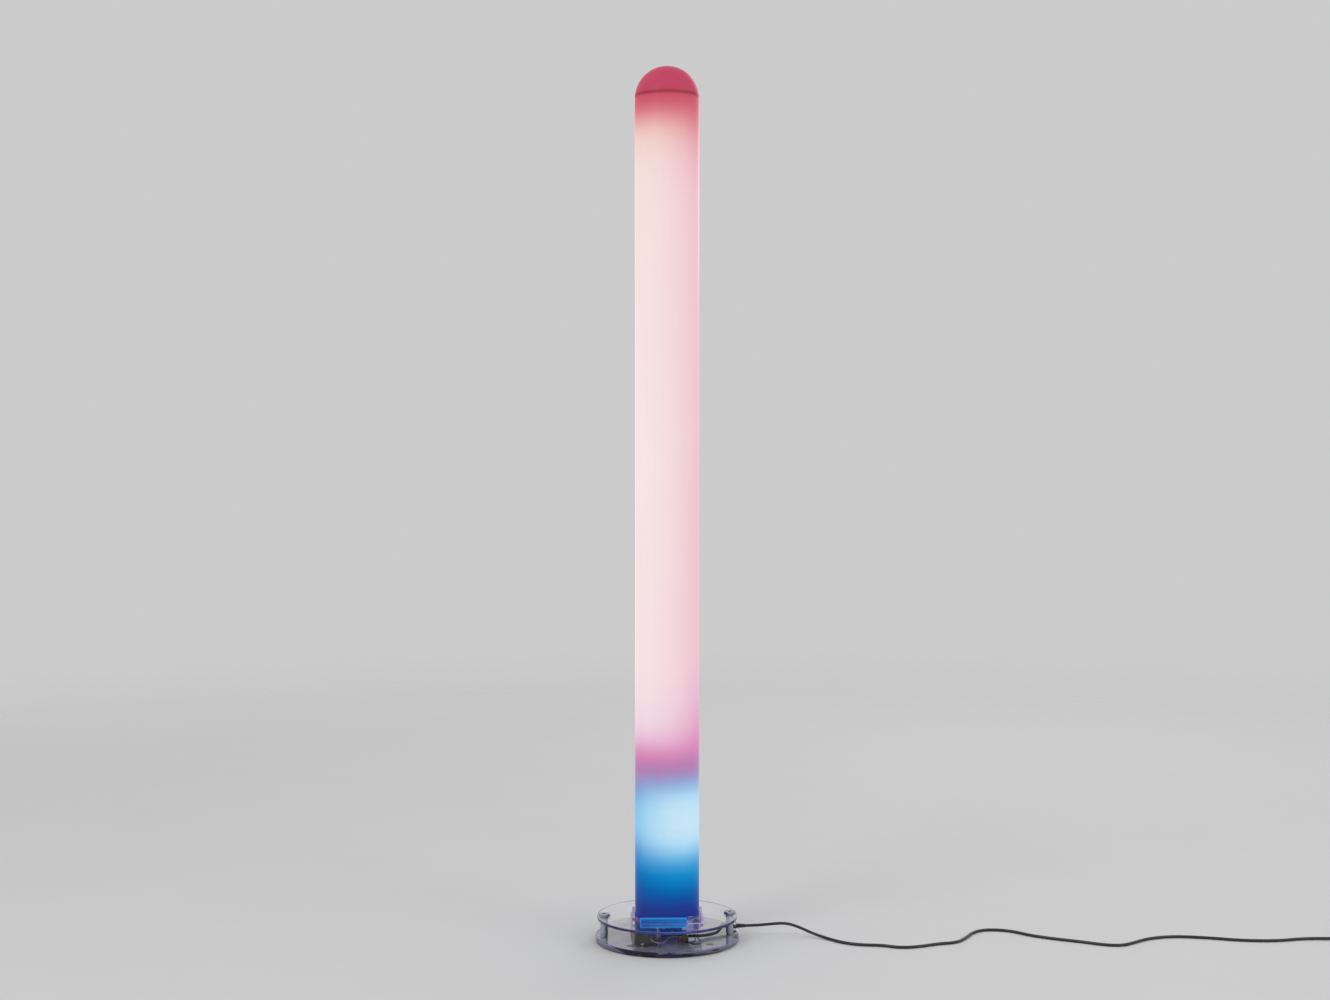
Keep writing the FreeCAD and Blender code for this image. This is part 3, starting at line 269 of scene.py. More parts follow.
TIE_HALF = 3.0
TIE_THICK = 0.8
TIE_GAP = 0.3
TIE_CORNER = 2.6
TIE_CORNER_STEPS = 7
TIE_EDGE = 0.25
TIE_HEAD = [(-0.2, 0.8), (-2.6, 0.4), (-3.2, -1.4), (-3.2, -4.2), (-0.2, -4.8)]
TIE_HEAD_PROUD = 0.8
TIE_HEAD_LIFT = 2.0
TIE_BEVEL = 0.0002


def make_tie():
    """A flat band round the turns at the coil's left side, with its small locking head."""
    x0 = COIL_X - max(COIL_RADII) - CORD_RADIUS - TIE_GAP
    x1 = COIL_X - min(COIL_RADII) + CORD_RADIUS + TIE_GAP
    z0 = COIL_Z - CORD_RADIUS - TIE_GAP
    z1 = COIL_Z + LAYER_PITCH + CORD_RADIUS + TIE_GAP
    left, right, low, high = x0 + TIE_CORNER, x1 - TIE_CORNER, z0 + TIE_CORNER, z1 - TIE_CORNER
    outer = TIE_CORNER + TIE_THICK
    section = [(TIE_CORNER, -TIE_HALF), (TIE_CORNER, TIE_HALF),
               (outer, TIE_HALF - TIE_EDGE), (outer, TIE_EDGE - TIE_HALF)]
    bm = bmesh.new()
    rings = []
    for x, z, start in ((right, low, -90), (right, high, 0), (left, high, 90), (left, low, 180)):
        for k in range(TIE_CORNER_STEPS):
            turn = math.radians(start + 90 * k / (TIE_CORNER_STEPS - 1))
            c, s = math.cos(turn), math.sin(turn)
            rings.append([bm.verts.new(mm(x + c * reach, COIL_Y + y, z + s * reach))
                          for reach, y in section])
    for first, second in zip(rings, rings[1:] + rings[:1]):
        bridge(bm, first, second)
    head_x = x0 - TIE_THICK
    head_z = (z0 + z1) / 2 + TIE_HEAD_LIFT
    half = TIE_HALF + TIE_HEAD_PROUD
    sides = [[bm.verts.new(mm(head_x + x, COIL_Y + y, head_z + z)) for x, z in TIE_HEAD]
             for y in (-half, half)]
    bm.faces.new(sides[0])
    bm.faces.new(sides[1][::-1])
    bridge(bm, *sides)
    piece = finish_mesh("cord_tie_band", bm, smooth=False)
    bevel = piece.modifiers.new("edges", "BEVEL")
    bevel.width = TIE_BEVEL
    bevel.segments = 2
    bevel.limit_method = "ANGLE"
    return piece


# Sections of the plug from where the cord enters it: place, half width, half height, power.
# A rib's are place and radius from its start, and a grip's leave out the power.
PLUG_SQUARE = 4.6
PLUG_NECK = [(0, 3.3, 3.3, ROUND), (0.6, 3.8, 3.8, ROUND)]
PLUG_RIB = [(0, 0), (0.25, -0.6), (1.2, -0.6), (1.45, 0.1)]
PLUG_RIB_COUNT = 4
PLUG_RIB_START, PLUG_RIB_PITCH = 3.4, 4.0
PLUG_RIB_RADIUS, PLUG_RIB_SWELL = 3.95, 0.28
PLUG_SHOULDER = [
    (20, 5.6, 5.25, 2.2), (23, 7.4, 5.5, 2.6), (26.5, 11.4, 6.0, 3.0),
    (30, 15.2, 6.5, 3.6), (33, 17.2, 6.8, 4.2), (36, 17.6, 6.85, PLUG_SQUARE),
]
PLUG_GRIP = [(0, 17.6, 6.85), (0.4, 17.1, 6.25), (1.3, 17.1, 6.25), (1.7, 17.6, 6.85)]
PLUG_GRIP_COUNT = 4
PLUG_GRIP_START, PLUG_GRIP_PITCH = 38.5, 2.6
PLUG_END = [(53.6, 17.6, 6.85, PLUG_SQUARE), (54.6, 17.2, 6.5, PLUG_SQUARE), (55, 16.4, 5.8, PLUG_SQUARE)]
PLUG_COUNT = 56
PLUG_SHARP = 42
SLEEVE = [(54.5, 2.3), (55.6, 2.3), (56.2, 1.9), (64.8, 1.9), (65, 1.7)]
SLEEVE_OFFSET = 9.3
SLEEVE_COUNT = 24
SLEEVE_SHARP = 40


def make_plug():
    """Ribbed neck, swept shoulder and a flat body with grip hollows on both faces."""
    sections = list(PLUG_NECK)
    for k in range(PLUG_RIB_COUNT):
        low = PLUG_RIB_START + PLUG_RIB_PITCH * k
        radius = PLUG_RIB_RADIUS + PLUG_RIB_SWELL * k
        sections += [(low + step, radius + proud, radius + proud, ROUND) for step, proud in PLUG_RIB]
    sections += PLUG_SHOULDER
    for k in range(PLUG_GRIP_COUNT):
        low = PLUG_GRIP_START + PLUG_GRIP_PITCH * k
        sections += [(low + step, half_w, half_h, PLUG_SQUARE) for step, half_w, half_h in PLUG_GRIP]
    sections += PLUG_END
    body = loft("plug_shell", sections, "Y", (TAIL_X, PLUG_Y, PLUG_Z), PLUG_COUNT)
    sharpen(body, PLUG_SHARP)
    sleeves = []
    for side in (-1, 1):
        origin = (TAIL_X + side * SLEEVE_OFFSET, PLUG_Y, PLUG_Z)
        rings = [(place, radius, radius, ROUND) for place, radius in SLEEVE]
        sleeve = loft("plug_sleeve_%d" % (side + 2), rings, "Y", origin, SLEEVE_COUNT)
        sharpen(sleeve, SLEEVE_SHARP)
        sleeves.append(sleeve)
    return body, sleeves


relief = make_relief()
tie = make_tie()
plug, plug_sleeves = make_plug()
for sleeve in plug_sleeves:
    sleeve.parent = plug
for piece in (relief, tie, plug, mains_cord):
    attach(piece, "base")
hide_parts("cord_free", "cord_coil", "cord_tail")
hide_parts("cord_relief")
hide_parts("coil_tie")
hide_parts("plug_body")

# --- material helpers --------------------------------------------------------------
ACRYLIC_IOR = 1.49
NOISE_ROUGHNESS = 0.55
NOISE_LOW, NOISE_HIGH = 0.3, 0.7
MIX_SOCKETS = (0, 6, 7)
MIX_RESULT = 2


class Nodes:
    """A small wrapper round a material's node tree."""

    def __init__(self, name):
        self.material = bpy.data.materials.new(name)
        self.material.use_nodes = True
        self.tree = self.material.node_tree
        self.shader = self.tree.nodes["Principled BSDF"]
        self.place = None

    def add(self, kind, **settings):
        node = self.tree.nodes.new(kind)
        for key, value in settings.items():
            setattr(node, key, value)
        return node

    def link(self, source, target):
        self.tree.links.new(source, target)

    def position(self):
        if self.place is None:
            self.place = self.add("ShaderNodeTexCoord").outputs["Object"]
        return self.place

    def axes(self):
        split = self.add("ShaderNodeSeparateXYZ")
        self.link(self.position(), split.inputs[0])
        return split.outputs

    def math(self, operation, first, second=None, clamp=False):
        node = self.add("ShaderNodeMath", operation=operation, use_clamp=clamp)
        for socket, value in zip(node.inputs, (first, second)):
            if isinstance(value, (int, float)):
                socket.default_value = value
            elif value is not None:
                self.link(value, socket)
        return node.outputs[0]

    def product(self, first, *others):
        for value in others:
            first = self.math("MULTIPLY", first, value)
        return first

    def radius(self, x, y):
        """How far a point is from the upright axis."""
        return self.math("SQRT", self.math("ADD", self.product(x, x), self.product(y, y)))

    def stretch(self, scale):
        node = self.add("ShaderNodeVectorMath", operation="MULTIPLY")
        node.inputs[1].default_value = scale
        self.link(self.position(), node.inputs[0])
        return node.outputs[0]

    def noise(self, scale, detail=4.0, stretch=None):
        node = self.add("ShaderNodeTexNoise")
        node.inputs["Scale"].default_value = scale
        node.inputs["Detail"].default_value = detail
        node.inputs["Roughness"].default_value = NOISE_ROUGHNESS
        self.link(self.stretch(stretch) if stretch else self.position(), node.inputs["Vector"])
        return node.outputs["Fac"]

    def span(self, value, low, high, to_low, to_high, smooth=False):
        """A range of a value mapped to another range, and held at its ends."""
        node = self.add("ShaderNodeMapRange", interpolation_type="SMOOTHSTEP" if smooth else "LINEAR")
        ends = (("From Min", low), ("From Max", high), ("To Min", to_low), ("To Max", to_high))
        for key, number in ends:
            node.inputs[key].default_value = number
        self.link(value, node.inputs["Value"])
        return node.outputs["Result"]

    def spread(self, noise, to_low, to_high):
        """The middle of a noise's range mapped to another range."""
        return self.span(noise, NOISE_LOW, NOISE_HIGH, to_low, to_high)

    def mix(self, factor, first, second, blend="MIX"):
        node = self.add("ShaderNodeMix", data_type="RGBA", blend_type=blend)
        for index, value in zip(MIX_SOCKETS, (factor, first, second)):
            socket = node.inputs[index]
            if isinstance(value, (int, float)):
                socket.default_value = value
            elif isinstance(value, tuple):
                socket.default_value = (*value, 1)
            else:
                self.link(value, socket)
        return node.outputs[MIX_RESULT]

    def times(self, first, second):
        """Two colours multiplied."""
        return self.mix(1.0, first, second, "MULTIPLY")

    def grey(self, value):
        """A colour with one number in its three channels."""
        node = self.add("ShaderNodeCombineColor")
        for k in range(3):
            self.link(value, node.inputs[k])
        return node.outputs[0]

    def ramp(self, factor, stops):
        node = self.add("ShaderNodeValToRGB")
        ramp = node.color_ramp
        ramp.elements[0].position, ramp.elements[1].position = stops[0][0], stops[-1][0]
        ramp.elements[0].color, ramp.elements[1].color = (*stops[0][1], 1), (*stops[-1][1], 1)
        for place, colour in stops[1:-1]:
            ramp.elements.new(place).color = (*colour, 1)
        self.link(factor, node.inputs[0])
        return node.outputs[0]

    def bump(self, height, strength, distance):
        node = self.add("ShaderNodeBump")
        node.inputs["Strength"].default_value = strength
        node.inputs["Distance"].default_value = distance
        self.link(height, node.inputs["Height"])
        self.link(node.outputs[0], self.shader.inputs["Normal"])

    def set(self, **values):
        """Set or link the shader's own sockets, named with _ for each space."""
        for key, value in values.items():
            socket = self.shader.inputs[key.replace("_", " ")]
            if isinstance(value, tuple) and len(value) == 3:
                value = (*value, 1)
            if isinstance(value, (int, float, tuple)):
                socket.default_value = value
            else:
                self.link(value, socket)


def scaled(colour, share):
    return tuple(min(1.0, c * share) for c in colour)


SHADE_SCALE = 22.0
GLOSS_SPREAD = 0.15


def surface(name, colour, roughness, grain, depth, vary, metallic=0.0, stretch=None, strength=0.35,
            **values):
    """A moulded, painted or metal surface with fine grain and slow changes of shade and gloss."""
    m = Nodes(name)
    fine = m.noise(grain, 5.0, stretch)
    slow = m.spread(m.noise(SHADE_SCALE, 3.0), 0, 1)
    m.set(Base_Color=m.mix(slow, scaled(colour, 1 - vary), scaled(colour, 1 + vary)))
    rougher = min(1.0, roughness * (1 + GLOSS_SPREAD))
    m.set(Roughness=m.spread(fine, roughness * (1 - GLOSS_SPREAD), rougher))
    m.bump(fine, strength, depth / 1000)
    m.set(Metallic=metallic, **values)
    return m.material


def dress(piece, material):
    piece.data.materials.clear()
    piece.data.materials.append(material)


def give(material, *names):
    for name in names:
        dress(nodes[name], material)


# --- glowing tube and dome ---------------------------------------------------------
# Colours of the lit tube by height in mm: at the side nearest its lamp, and opposite.
BLUE_ZONE = [
    (50, (0.016, 0.026, 0.200), (0.024, 0.032, 0.235)),
    (74, (0.013, 0.047, 0.278), (0.021, 0.045, 0.266)),
    (89, (0.003, 0.084, 0.356), (0.019, 0.062, 0.312)),
    (104, (0.001, 0.138, 0.443), (0.006, 0.062, 0.321)),
    (119, (0.001, 0.202, 0.533), (0.001, 0.076, 0.363)),
    (133, (0.006, 0.267, 0.617), (0.001, 0.095, 0.391)),
    (148, (0.046, 0.346, 0.686), (0.001, 0.132, 0.488)),
    (163, (0.144, 0.473, 0.800), (0.001, 0.145, 0.506)),
    (178, (0.304, 0.636, 0.892), (0.001, 0.160, 0.536)),
    (193, (0.458, 0.753, 0.956), (0.001, 0.265, 0.714)),
    (207, (0.551, 0.802, 0.964), (0.001, 0.388, 0.780)),
    (222, (0.594, 0.817, 0.973), (0.002, 0.455, 0.809)),
    (252, (0.578, 0.813, 0.965), (0.004, 0.419, 0.831)),
    (267, (0.523, 0.783, 0.964), (0.025, 0.321, 0.728)),
    (281, (0.434, 0.703, 0.919), (0.086, 0.195, 0.585)),
    (296, (0.333, 0.521, 0.794), (0.217, 0.225, 0.518)),
    (304, (0.317, 0.436, 0.715), (0.321, 0.212, 0.485)),
    (311, (0.336, 0.357, 0.638), (0.422, 0.217, 0.472)),
    (318, (0.378, 0.297, 0.567), (0.488, 0.189, 0.447)),
    (326, (0.427, 0.254, 0.512), (0.523, 0.176, 0.414)),
    (336, (0.520, 0.228, 0.475), (0.440, 0.250, 0.510)),
]
PINK_ZONE = [
    (336, (0.530, 0.222, 0.467), (0.450, 0.246, 0.510)),
    (348, (0.661, 0.241, 0.478), (0.505, 0.231, 0.490)),
    (355, (0.708, 0.275, 0.505), (0.584, 0.235, 0.485)),
    (363, (0.748, 0.326, 0.558), (0.624, 0.226, 0.450)),
    (370, (0.787, 0.389, 0.606), (0.673, 0.203, 0.450)),
    (385, (0.841, 0.529, 0.698), (0.717, 0.197, 0.454)),
    (403, (0.899, 0.642, 0.764), (0.747, 0.226, 0.472)),
    (422, (0.921, 0.708, 0.797), (0.771, 0.278, 0.495)),
    (459, (0.944, 0.754, 0.804), (0.818, 0.368, 0.576)),
    (514, (0.953, 0.777, 0.806), (0.863, 0.435, 0.572)),
    (900, (0.967, 0.805, 0.800), (0.855, 0.459, 0.568)),
    (1283, (0.954, 0.782, 0.765), (0.866, 0.466, 0.569)),
    (1392, (0.955, 0.764, 0.742), (0.859, 0.416, 0.520)),
    (1447, (0.945, 0.739, 0.711), (0.827, 0.341, 0.461)),
    (1483, (0.921, 0.668, 0.625), (0.783, 0.232, 0.363)),
    (1501, (0.896, 0.571, 0.537), (0.752, 0.177, 0.311)),
    (1512, (0.861, 0.481, 0.464), (0.719, 0.155, 0.238)),
    (1523, (0.823, 0.367, 0.377), (0.691, 0.145, 0.207)),
    (1534, (0.763, 0.254, 0.291), (0.647, 0.150, 0.191)),
    (1545, (0.706, 0.172, 0.219), (0.622, 0.140, 0.177)),
    (1556, (0.644, 0.113, 0.166), (0.618, 0.121, 0.162)),
    (1570, (0.590, 0.082, 0.135), (0.560, 0.080, 0.125)),
    # A narrow painted dark line in the glow: painted shade at the seam where the dome meets the tube.
    (1571, (0.330, 0.036, 0.062), (0.310, 0.034, 0.058)),
    (1573, (0.330, 0.036, 0.062), (0.310, 0.034, 0.058)),
    (1574, (0.530, 0.062, 0.118), (0.500, 0.062, 0.112)),
    (1588, (0.563, 0.067, 0.140), (0.500, 0.066, 0.120)),
    (1628, (0.540, 0.062, 0.130), (0.470, 0.058, 0.105)),
]
BLUE_SIDE = -60
PINK_SIDE = -140
ZONES_MEET = (0.330, 0.342)
TUBE_RADIUS = 0.060
GLOW = 0.93
OPAL_BASE = (0.05, 0.05, 0.05)
OPAL_SPECULAR = 0.06
STREAK_SCALE = 60.0
STREAK_STRETCH = (1.0, 1.0, 0.02)
CLOUD_SCALE = 9.0


def side_factor(m, x, y, azimuth):
    """0 to 1: how far a point of the tube lies towards an azimuth in degrees."""
    turn = math.radians(azimuth)
    along_x = m.product(x, math.cos(turn) / TUBE_RADIUS / 2)
    along_y = m.product(y, math.sin(turn) / TUBE_RADIUS / 2)
    return m.math("ADD", m.math("ADD", along_x, along_y), 0.5, clamp=True)


def zone_colour(m, z, zone, factor):
    low, high = zone[0][0], zone[-1][0]
    height = m.span(z, low / 1000, high / 1000, 0, 1)
    near = m.ramp(height, [((h - low) / (high - low), a) for h, a, b in zone])
    far = m.ramp(height, [((h - low) / (high - low), b) for h, a, b in zone])
    return m.mix(factor, far, near)


def opal_material(name):
    """Opal plastic lit from inside: its glow follows the height and the side of each lamp."""
    m = Nodes(name)
    x, y, z = m.axes()
    blue = zone_colour(m, z, BLUE_ZONE, side_factor(m, x, y, BLUE_SIDE))
    pink = zone_colour(m, z, PINK_ZONE, side_factor(m, x, y, PINK_SIDE))
    glow = m.mix(m.span(z, *ZONES_MEET, 0, 1, smooth=True), blue, pink)
    streaks = m.noise(STREAK_SCALE, 3.0, STREAK_STRETCH)
    cloud = m.noise(CLOUD_SCALE, 3.0)
    shade = m.product(m.spread(streaks, 0.985, 1.0), m.spread(cloud, 0.98, 1.0))
    glow = m.times(glow, m.grey(shade))
    m.set(Base_Color=m.times(glow, OPAL_BASE), Emission_Color=glow, Emission_Strength=GLOW)
    m.set(Roughness=m.spread(m.noise(300.0, 3.0), 0.30, 0.38))
    m.set(IOR=ACRYLIC_IOR, Specular_IOR_Level=OPAL_SPECULAR)
    m.bump(streaks, 0.05, 0.0001)
    return m.material


give(opal_material("opal_tube"), "diffuser_tube")
give(opal_material("opal_dome"), "dome_cap", "dome_ring")

# --- clear acrylic discs and plates ------------------------------------------------
# The plates stand on a square that is turned about the tube's axis.
PLATE_TURN = math.radians(-3.2)
PLATE_BOTTOM = 0.035
PLATE_TOP = 0.0565
END_PLATE_TOP = 0.059
FRONT_ENDS = (-0.051, 0.035)
BACK_ENDS = (-0.043, 0.043)
SIDE_ENDS = (-0.057, 0.026)
END_ENDS = (0.037, 0.061)

# The strip of the upper disc's top before the front plate, painted blue as a painted reflection of the
# plate's light in its slot.
SLOT_PAINTED_REFLECTION = (0.002, 0.05, 0.40)
SLOT_STRIP = (-0.0708, -0.0698, -0.0600, -0.0595)
SLOT_OUT, SLOT_IN = 0.0010, 0.0002
SLOT_FACE = (0.0004, 0.0001)


def plate_place(m, x, y, along):
    """A point's place along X or Y of the plates' square."""
    c, s = math.cos(PLATE_TURN), math.sin(PLATE_TURN)
    first, second = ((x, c), (y, s)) if along == "X" else ((x, -s), (y, c))
    return m.math("ADD", m.product(*first), m.product(*second))


def front_slot(m, x, y, z, top):
    """1 on the disc's top just before the front plate, and 0 elsewhere."""
    across = plate_place(m, x, y, "X")
    depth = plate_place(m, x, y, "Y")
    low, high = FRONT_ENDS
    return m.product(m.span(across, low - SLOT_OUT, low + SLOT_IN, 0, 1),
                     m.span(across, high - SLOT_IN, high + SLOT_OUT, 1, 0),
                     m.span(depth, *SLOT_STRIP[:2], 0, 1), m.span(depth, *SLOT_STRIP[2:], 1, 0),
                     m.span(z, top - SLOT_FACE[0], top - SLOT_FACE[1], 0, 1))


# How far in from a disc's rim, or down from its top, a look begins and is full: painted glow along the
# rim's top edge, and a painted pale highlight line along the top edge over painted shade on the rim below
# it. FOOT_LIGHT is how far from the axis the painted glow near the tube's foot is full and ends.
RIM = (0.0020, 0.0006)
TOP_EDGE = (0.0016, 0.0008)
PALE_EDGE = (0.0022, 0.0010)
FOOT_LIGHT = (0.045, 0.115)
DISC_TINT = (0.955, 0.950, 0.985)
# The rim's painted pale highlight line along its top edge.
PAINTED_RIM_HIGHLIGHT = (0.70, 0.67, 0.86)
# Colours of the discs' painted glow, purple on the left and blue on the right, across HUE_REACH each side
# of the axis.
LEFT_HUE = (0.30, 0.16, 0.62)
RIGHT_HUE = (0.16, 0.20, 0.72)
HUE_REACH = 0.13


def acrylic_disc(name, node, rim_glow, body_glow, painted_rim_shade):
    """Clear cast acrylic with painted light: a glow at its top edge and near the tube's foot, and a
    painted pale highlight line along the rim's top edge over painted shade on the rim below it.
    """
    m = Nodes(name)
    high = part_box(node)[1]
    x, y, z = m.axes()
    reach = m.radius(x, y)
    rim = m.span(reach, high.x - RIM[0], high.x - RIM[1], 0, 1, smooth=True)
    top_edge = m.span(z, high.z - TOP_EDGE[0], high.z - TOP_EDGE[1], 0, 1, smooth=True)
    pale_edge = m.span(z, high.z - PALE_EDGE[0], high.z - PALE_EDGE[1], 0, 1)
    near = m.span(reach, *FOOT_LIGHT, 1, 0, smooth=True)
    # The rim's colour: painted shade below a painted pale highlight line at its top edge.
    tint_and_painted_light = m.mix(rim, DISC_TINT, m.mix(pale_edge, painted_rim_shade, PAINTED_RIM_HIGHLIGHT))
    # On the upper disc, the strip before the front plate's slot gets a painted reflection of the plate's
    # blue light.
    if node == "upper_disc":
        tint_and_painted_light = m.mix(front_slot(m, x, y, z, high.z), tint_and_painted_light, SLOT_PAINTED_REFLECTION)
    m.set(Base_Color=tint_and_painted_light, Roughness=m.spread(m.noise(900.0), 0.015, 0.05))
    m.set(Transmission_Weight=1.0, IOR=ACRYLIC_IOR)
    light = m.math("ADD", m.product(rim, top_edge, rim_glow), m.product(near, body_glow))
    hue = m.mix(m.span(x, -HUE_REACH, HUE_REACH, 0, 1), LEFT_HUE, RIGHT_HUE)
    m.set(Emission_Color=m.times(hue, m.grey(light)), Emission_Strength=1.0)
    m.bump(m.noise(40.0, 2.0), 0.04, 0.0002)
    return m.material


# Each disc's last colour is painted shade on its rim below the top edge.
give(acrylic_disc("acrylic_lower", "lower_disc", rim_glow=0.12, body_glow=0.02,
                  painted_rim_shade=(0.22, 0.20, 0.29)), "lower_disc")
give(acrylic_disc("acrylic_upper", "upper_disc", rim_glow=0.22, body_glow=0.03,
                  painted_rim_shade=(0.36, 0.33, 0.46)), "upper_disc")

# The lit lines of a plate: how far in from its edges the outer one ends, and where the
# inner one starts, is full, begins to fade and ends.
OUTER_LINE = (0.0009, 0.00126)
INNER_LINE = (0.00171, 0.00198, 0.00252, 0.00279)
INNER_SHARE = 0.45


def edge_lit_plate(name, along, ends, top, tint_and_painted_light, faces, edge_colour, edge_power, clear):
    """A clear plate with painted lamp light: a painted glow on its faces and a brighter painted thin
    double line along its edges.
    """
    m = Nodes(name)
    x, y, z = m.axes()
    low, high = ends
    place = plate_place(m, x, y, along)
    near = m.math("MINIMUM", m.math("SUBTRACT", place, low), m.math("SUBTRACT", high, place))
    rise = m.math("MINIMUM", m.math("SUBTRACT", z, PLATE_BOTTOM), m.math("SUBTRACT", top, z))
    inset = m.math("MINIMUM", near, rise)
    outer = m.span(inset, *OUTER_LINE, 1, 0, smooth=True)
    inner = m.product(m.span(inset, *INNER_LINE[:2], 0, INNER_SHARE), m.span(inset, *INNER_LINE[2:], 1, 0))
    face = m.mix(m.span(place, low, high, 0, 1), *faces)
    m.set(Base_Color=tint_and_painted_light, Roughness=m.spread(m.noise(700.0), 0.05, 0.10))
    m.set(Transmission_Weight=clear, IOR=ACRYLIC_IOR, Emission_Strength=1.0)
    m.set(Emission_Color=m.mix(m.math("MAXIMUM", outer, inner), face, scaled(edge_colour, edge_power)))
    return m.material


# The front and back plates' blue tint is painted blue lamp light; CYAN_EDGE, ROSE, CYAN, CYAN_DIM,
# ROSE_DIM and GREY_BLUE are the painted glow on the plates' faces and edges.
PAINTED_BLUE_LIGHT_TINT = (0.005, 0.08, 0.24)
CLEAR_TINT = (0.66, 0.68, 0.84)
CYAN_EDGE = (0.01, 0.19, 0.48)
ROSE = (0.16, 0.06, 0.28)
CYAN = ((0.0, 0.030, 0.14), (0.0, 0.085, 0.27))
CYAN_DIM = tuple(scaled(colour, 0.4) for colour in CYAN)
ROSE_DIM = (scaled(ROSE, 0.05), scaled(ROSE, 0.05))
GREY_BLUE = (scaled((0.05, 0.10, 0.30), 0.15), scaled((0.05, 0.06, 0.25), 0.1))

# Node, material, direction, ends, top, tint (painted blue light on the front and back plates), painted
# face glow colours, painted edge glow colour and power, clearness.
PLATES = [
    ("front_plate", "plate_front", "X", FRONT_ENDS, PLATE_TOP, PAINTED_BLUE_LIGHT_TINT, CYAN, CYAN_EDGE, 1.0, 0.45),
    ("back_plate", "plate_back", "X", BACK_ENDS, PLATE_TOP, PAINTED_BLUE_LIGHT_TINT, CYAN_DIM, CYAN_EDGE, 0.4, 0.7),
    ("left_plate", "plate_left", "Y", SIDE_ENDS, PLATE_TOP, CLEAR_TINT, ROSE_DIM, ROSE, 0.12, 1.0),
    ("right_plate", "plate_right", "Y", SIDE_ENDS, PLATE_TOP, CLEAR_TINT, ROSE_DIM, ROSE, 0.15, 1.0),
    ("end_plate", "plate_end", "X", END_ENDS, END_PLATE_TOP, CLEAR_TINT, GREY_BLUE, ROSE, 0.20, 1.0),
]
for node, *look in PLATES:
    give(edge_lit_plate(*look), node)

# --- lamps -------------------------------------------------------------------------
END_SHADE = 0.25
GLASS_DARK, GLASS_LIGHT = 0.25, 0.32


def lamp_glass(name, colour, low, high, fade, power):
    """Coated lamp glass: bright along its length and darker towards its ends."""
    m = Nodes(name)
    z = m.axes()[2]
    start = m.span(z, low, low + fade, END_SHADE, 1, smooth=True)
    end = m.span(z, high - fade, high, 1, END_SHADE, smooth=True)
    share = m.product(m.math("MINIMUM", start, end), m.spread(m.noise(25.0, 2.0), 0.96, 1.0))
    cloud = m.spread(m.noise(90.0, 3.0), 0, 1)
    m.set(Base_Color=m.mix(cloud, scaled(colour, GLASS_DARK), scaled(colour, GLASS_LIGHT)))
    m.set(Emission_Color=m.times(colour, m.grey(share)), Emission_Strength=power)
    m.set(Roughness=m.spread(m.noise(400.0), 0.10, 0.18), Coat_Weight=0.6, Coat_Roughness=0.04)
    return m.material


give(lamp_glass("pink_lamp", (1.0, 0.50, 0.66), low=0.363, high=1.548, fade=0.07, power=0.95),
     "long_lamp_glass")
give(lamp_glass("blue_lamp", (0.22, 0.68, 1.0), low=0.165, high=0.289, fade=0.02, power=0.95),
     "short_lamp_glass")

# --- other materials ---------------------------------------------------------------
METAL = {"metallic": 1.0}
BRUSHED = {"metallic": 1.0, "stretch": (1, 1, 0.1)}
TURNED = {"metallic": 1.0, "stretch": (1, 1, 8)}
ENAMEL = {"strength": 0.25}
CLEAR = {"Transmission_Weight": 1.0, "IOR": ACRYLIC_IOR}

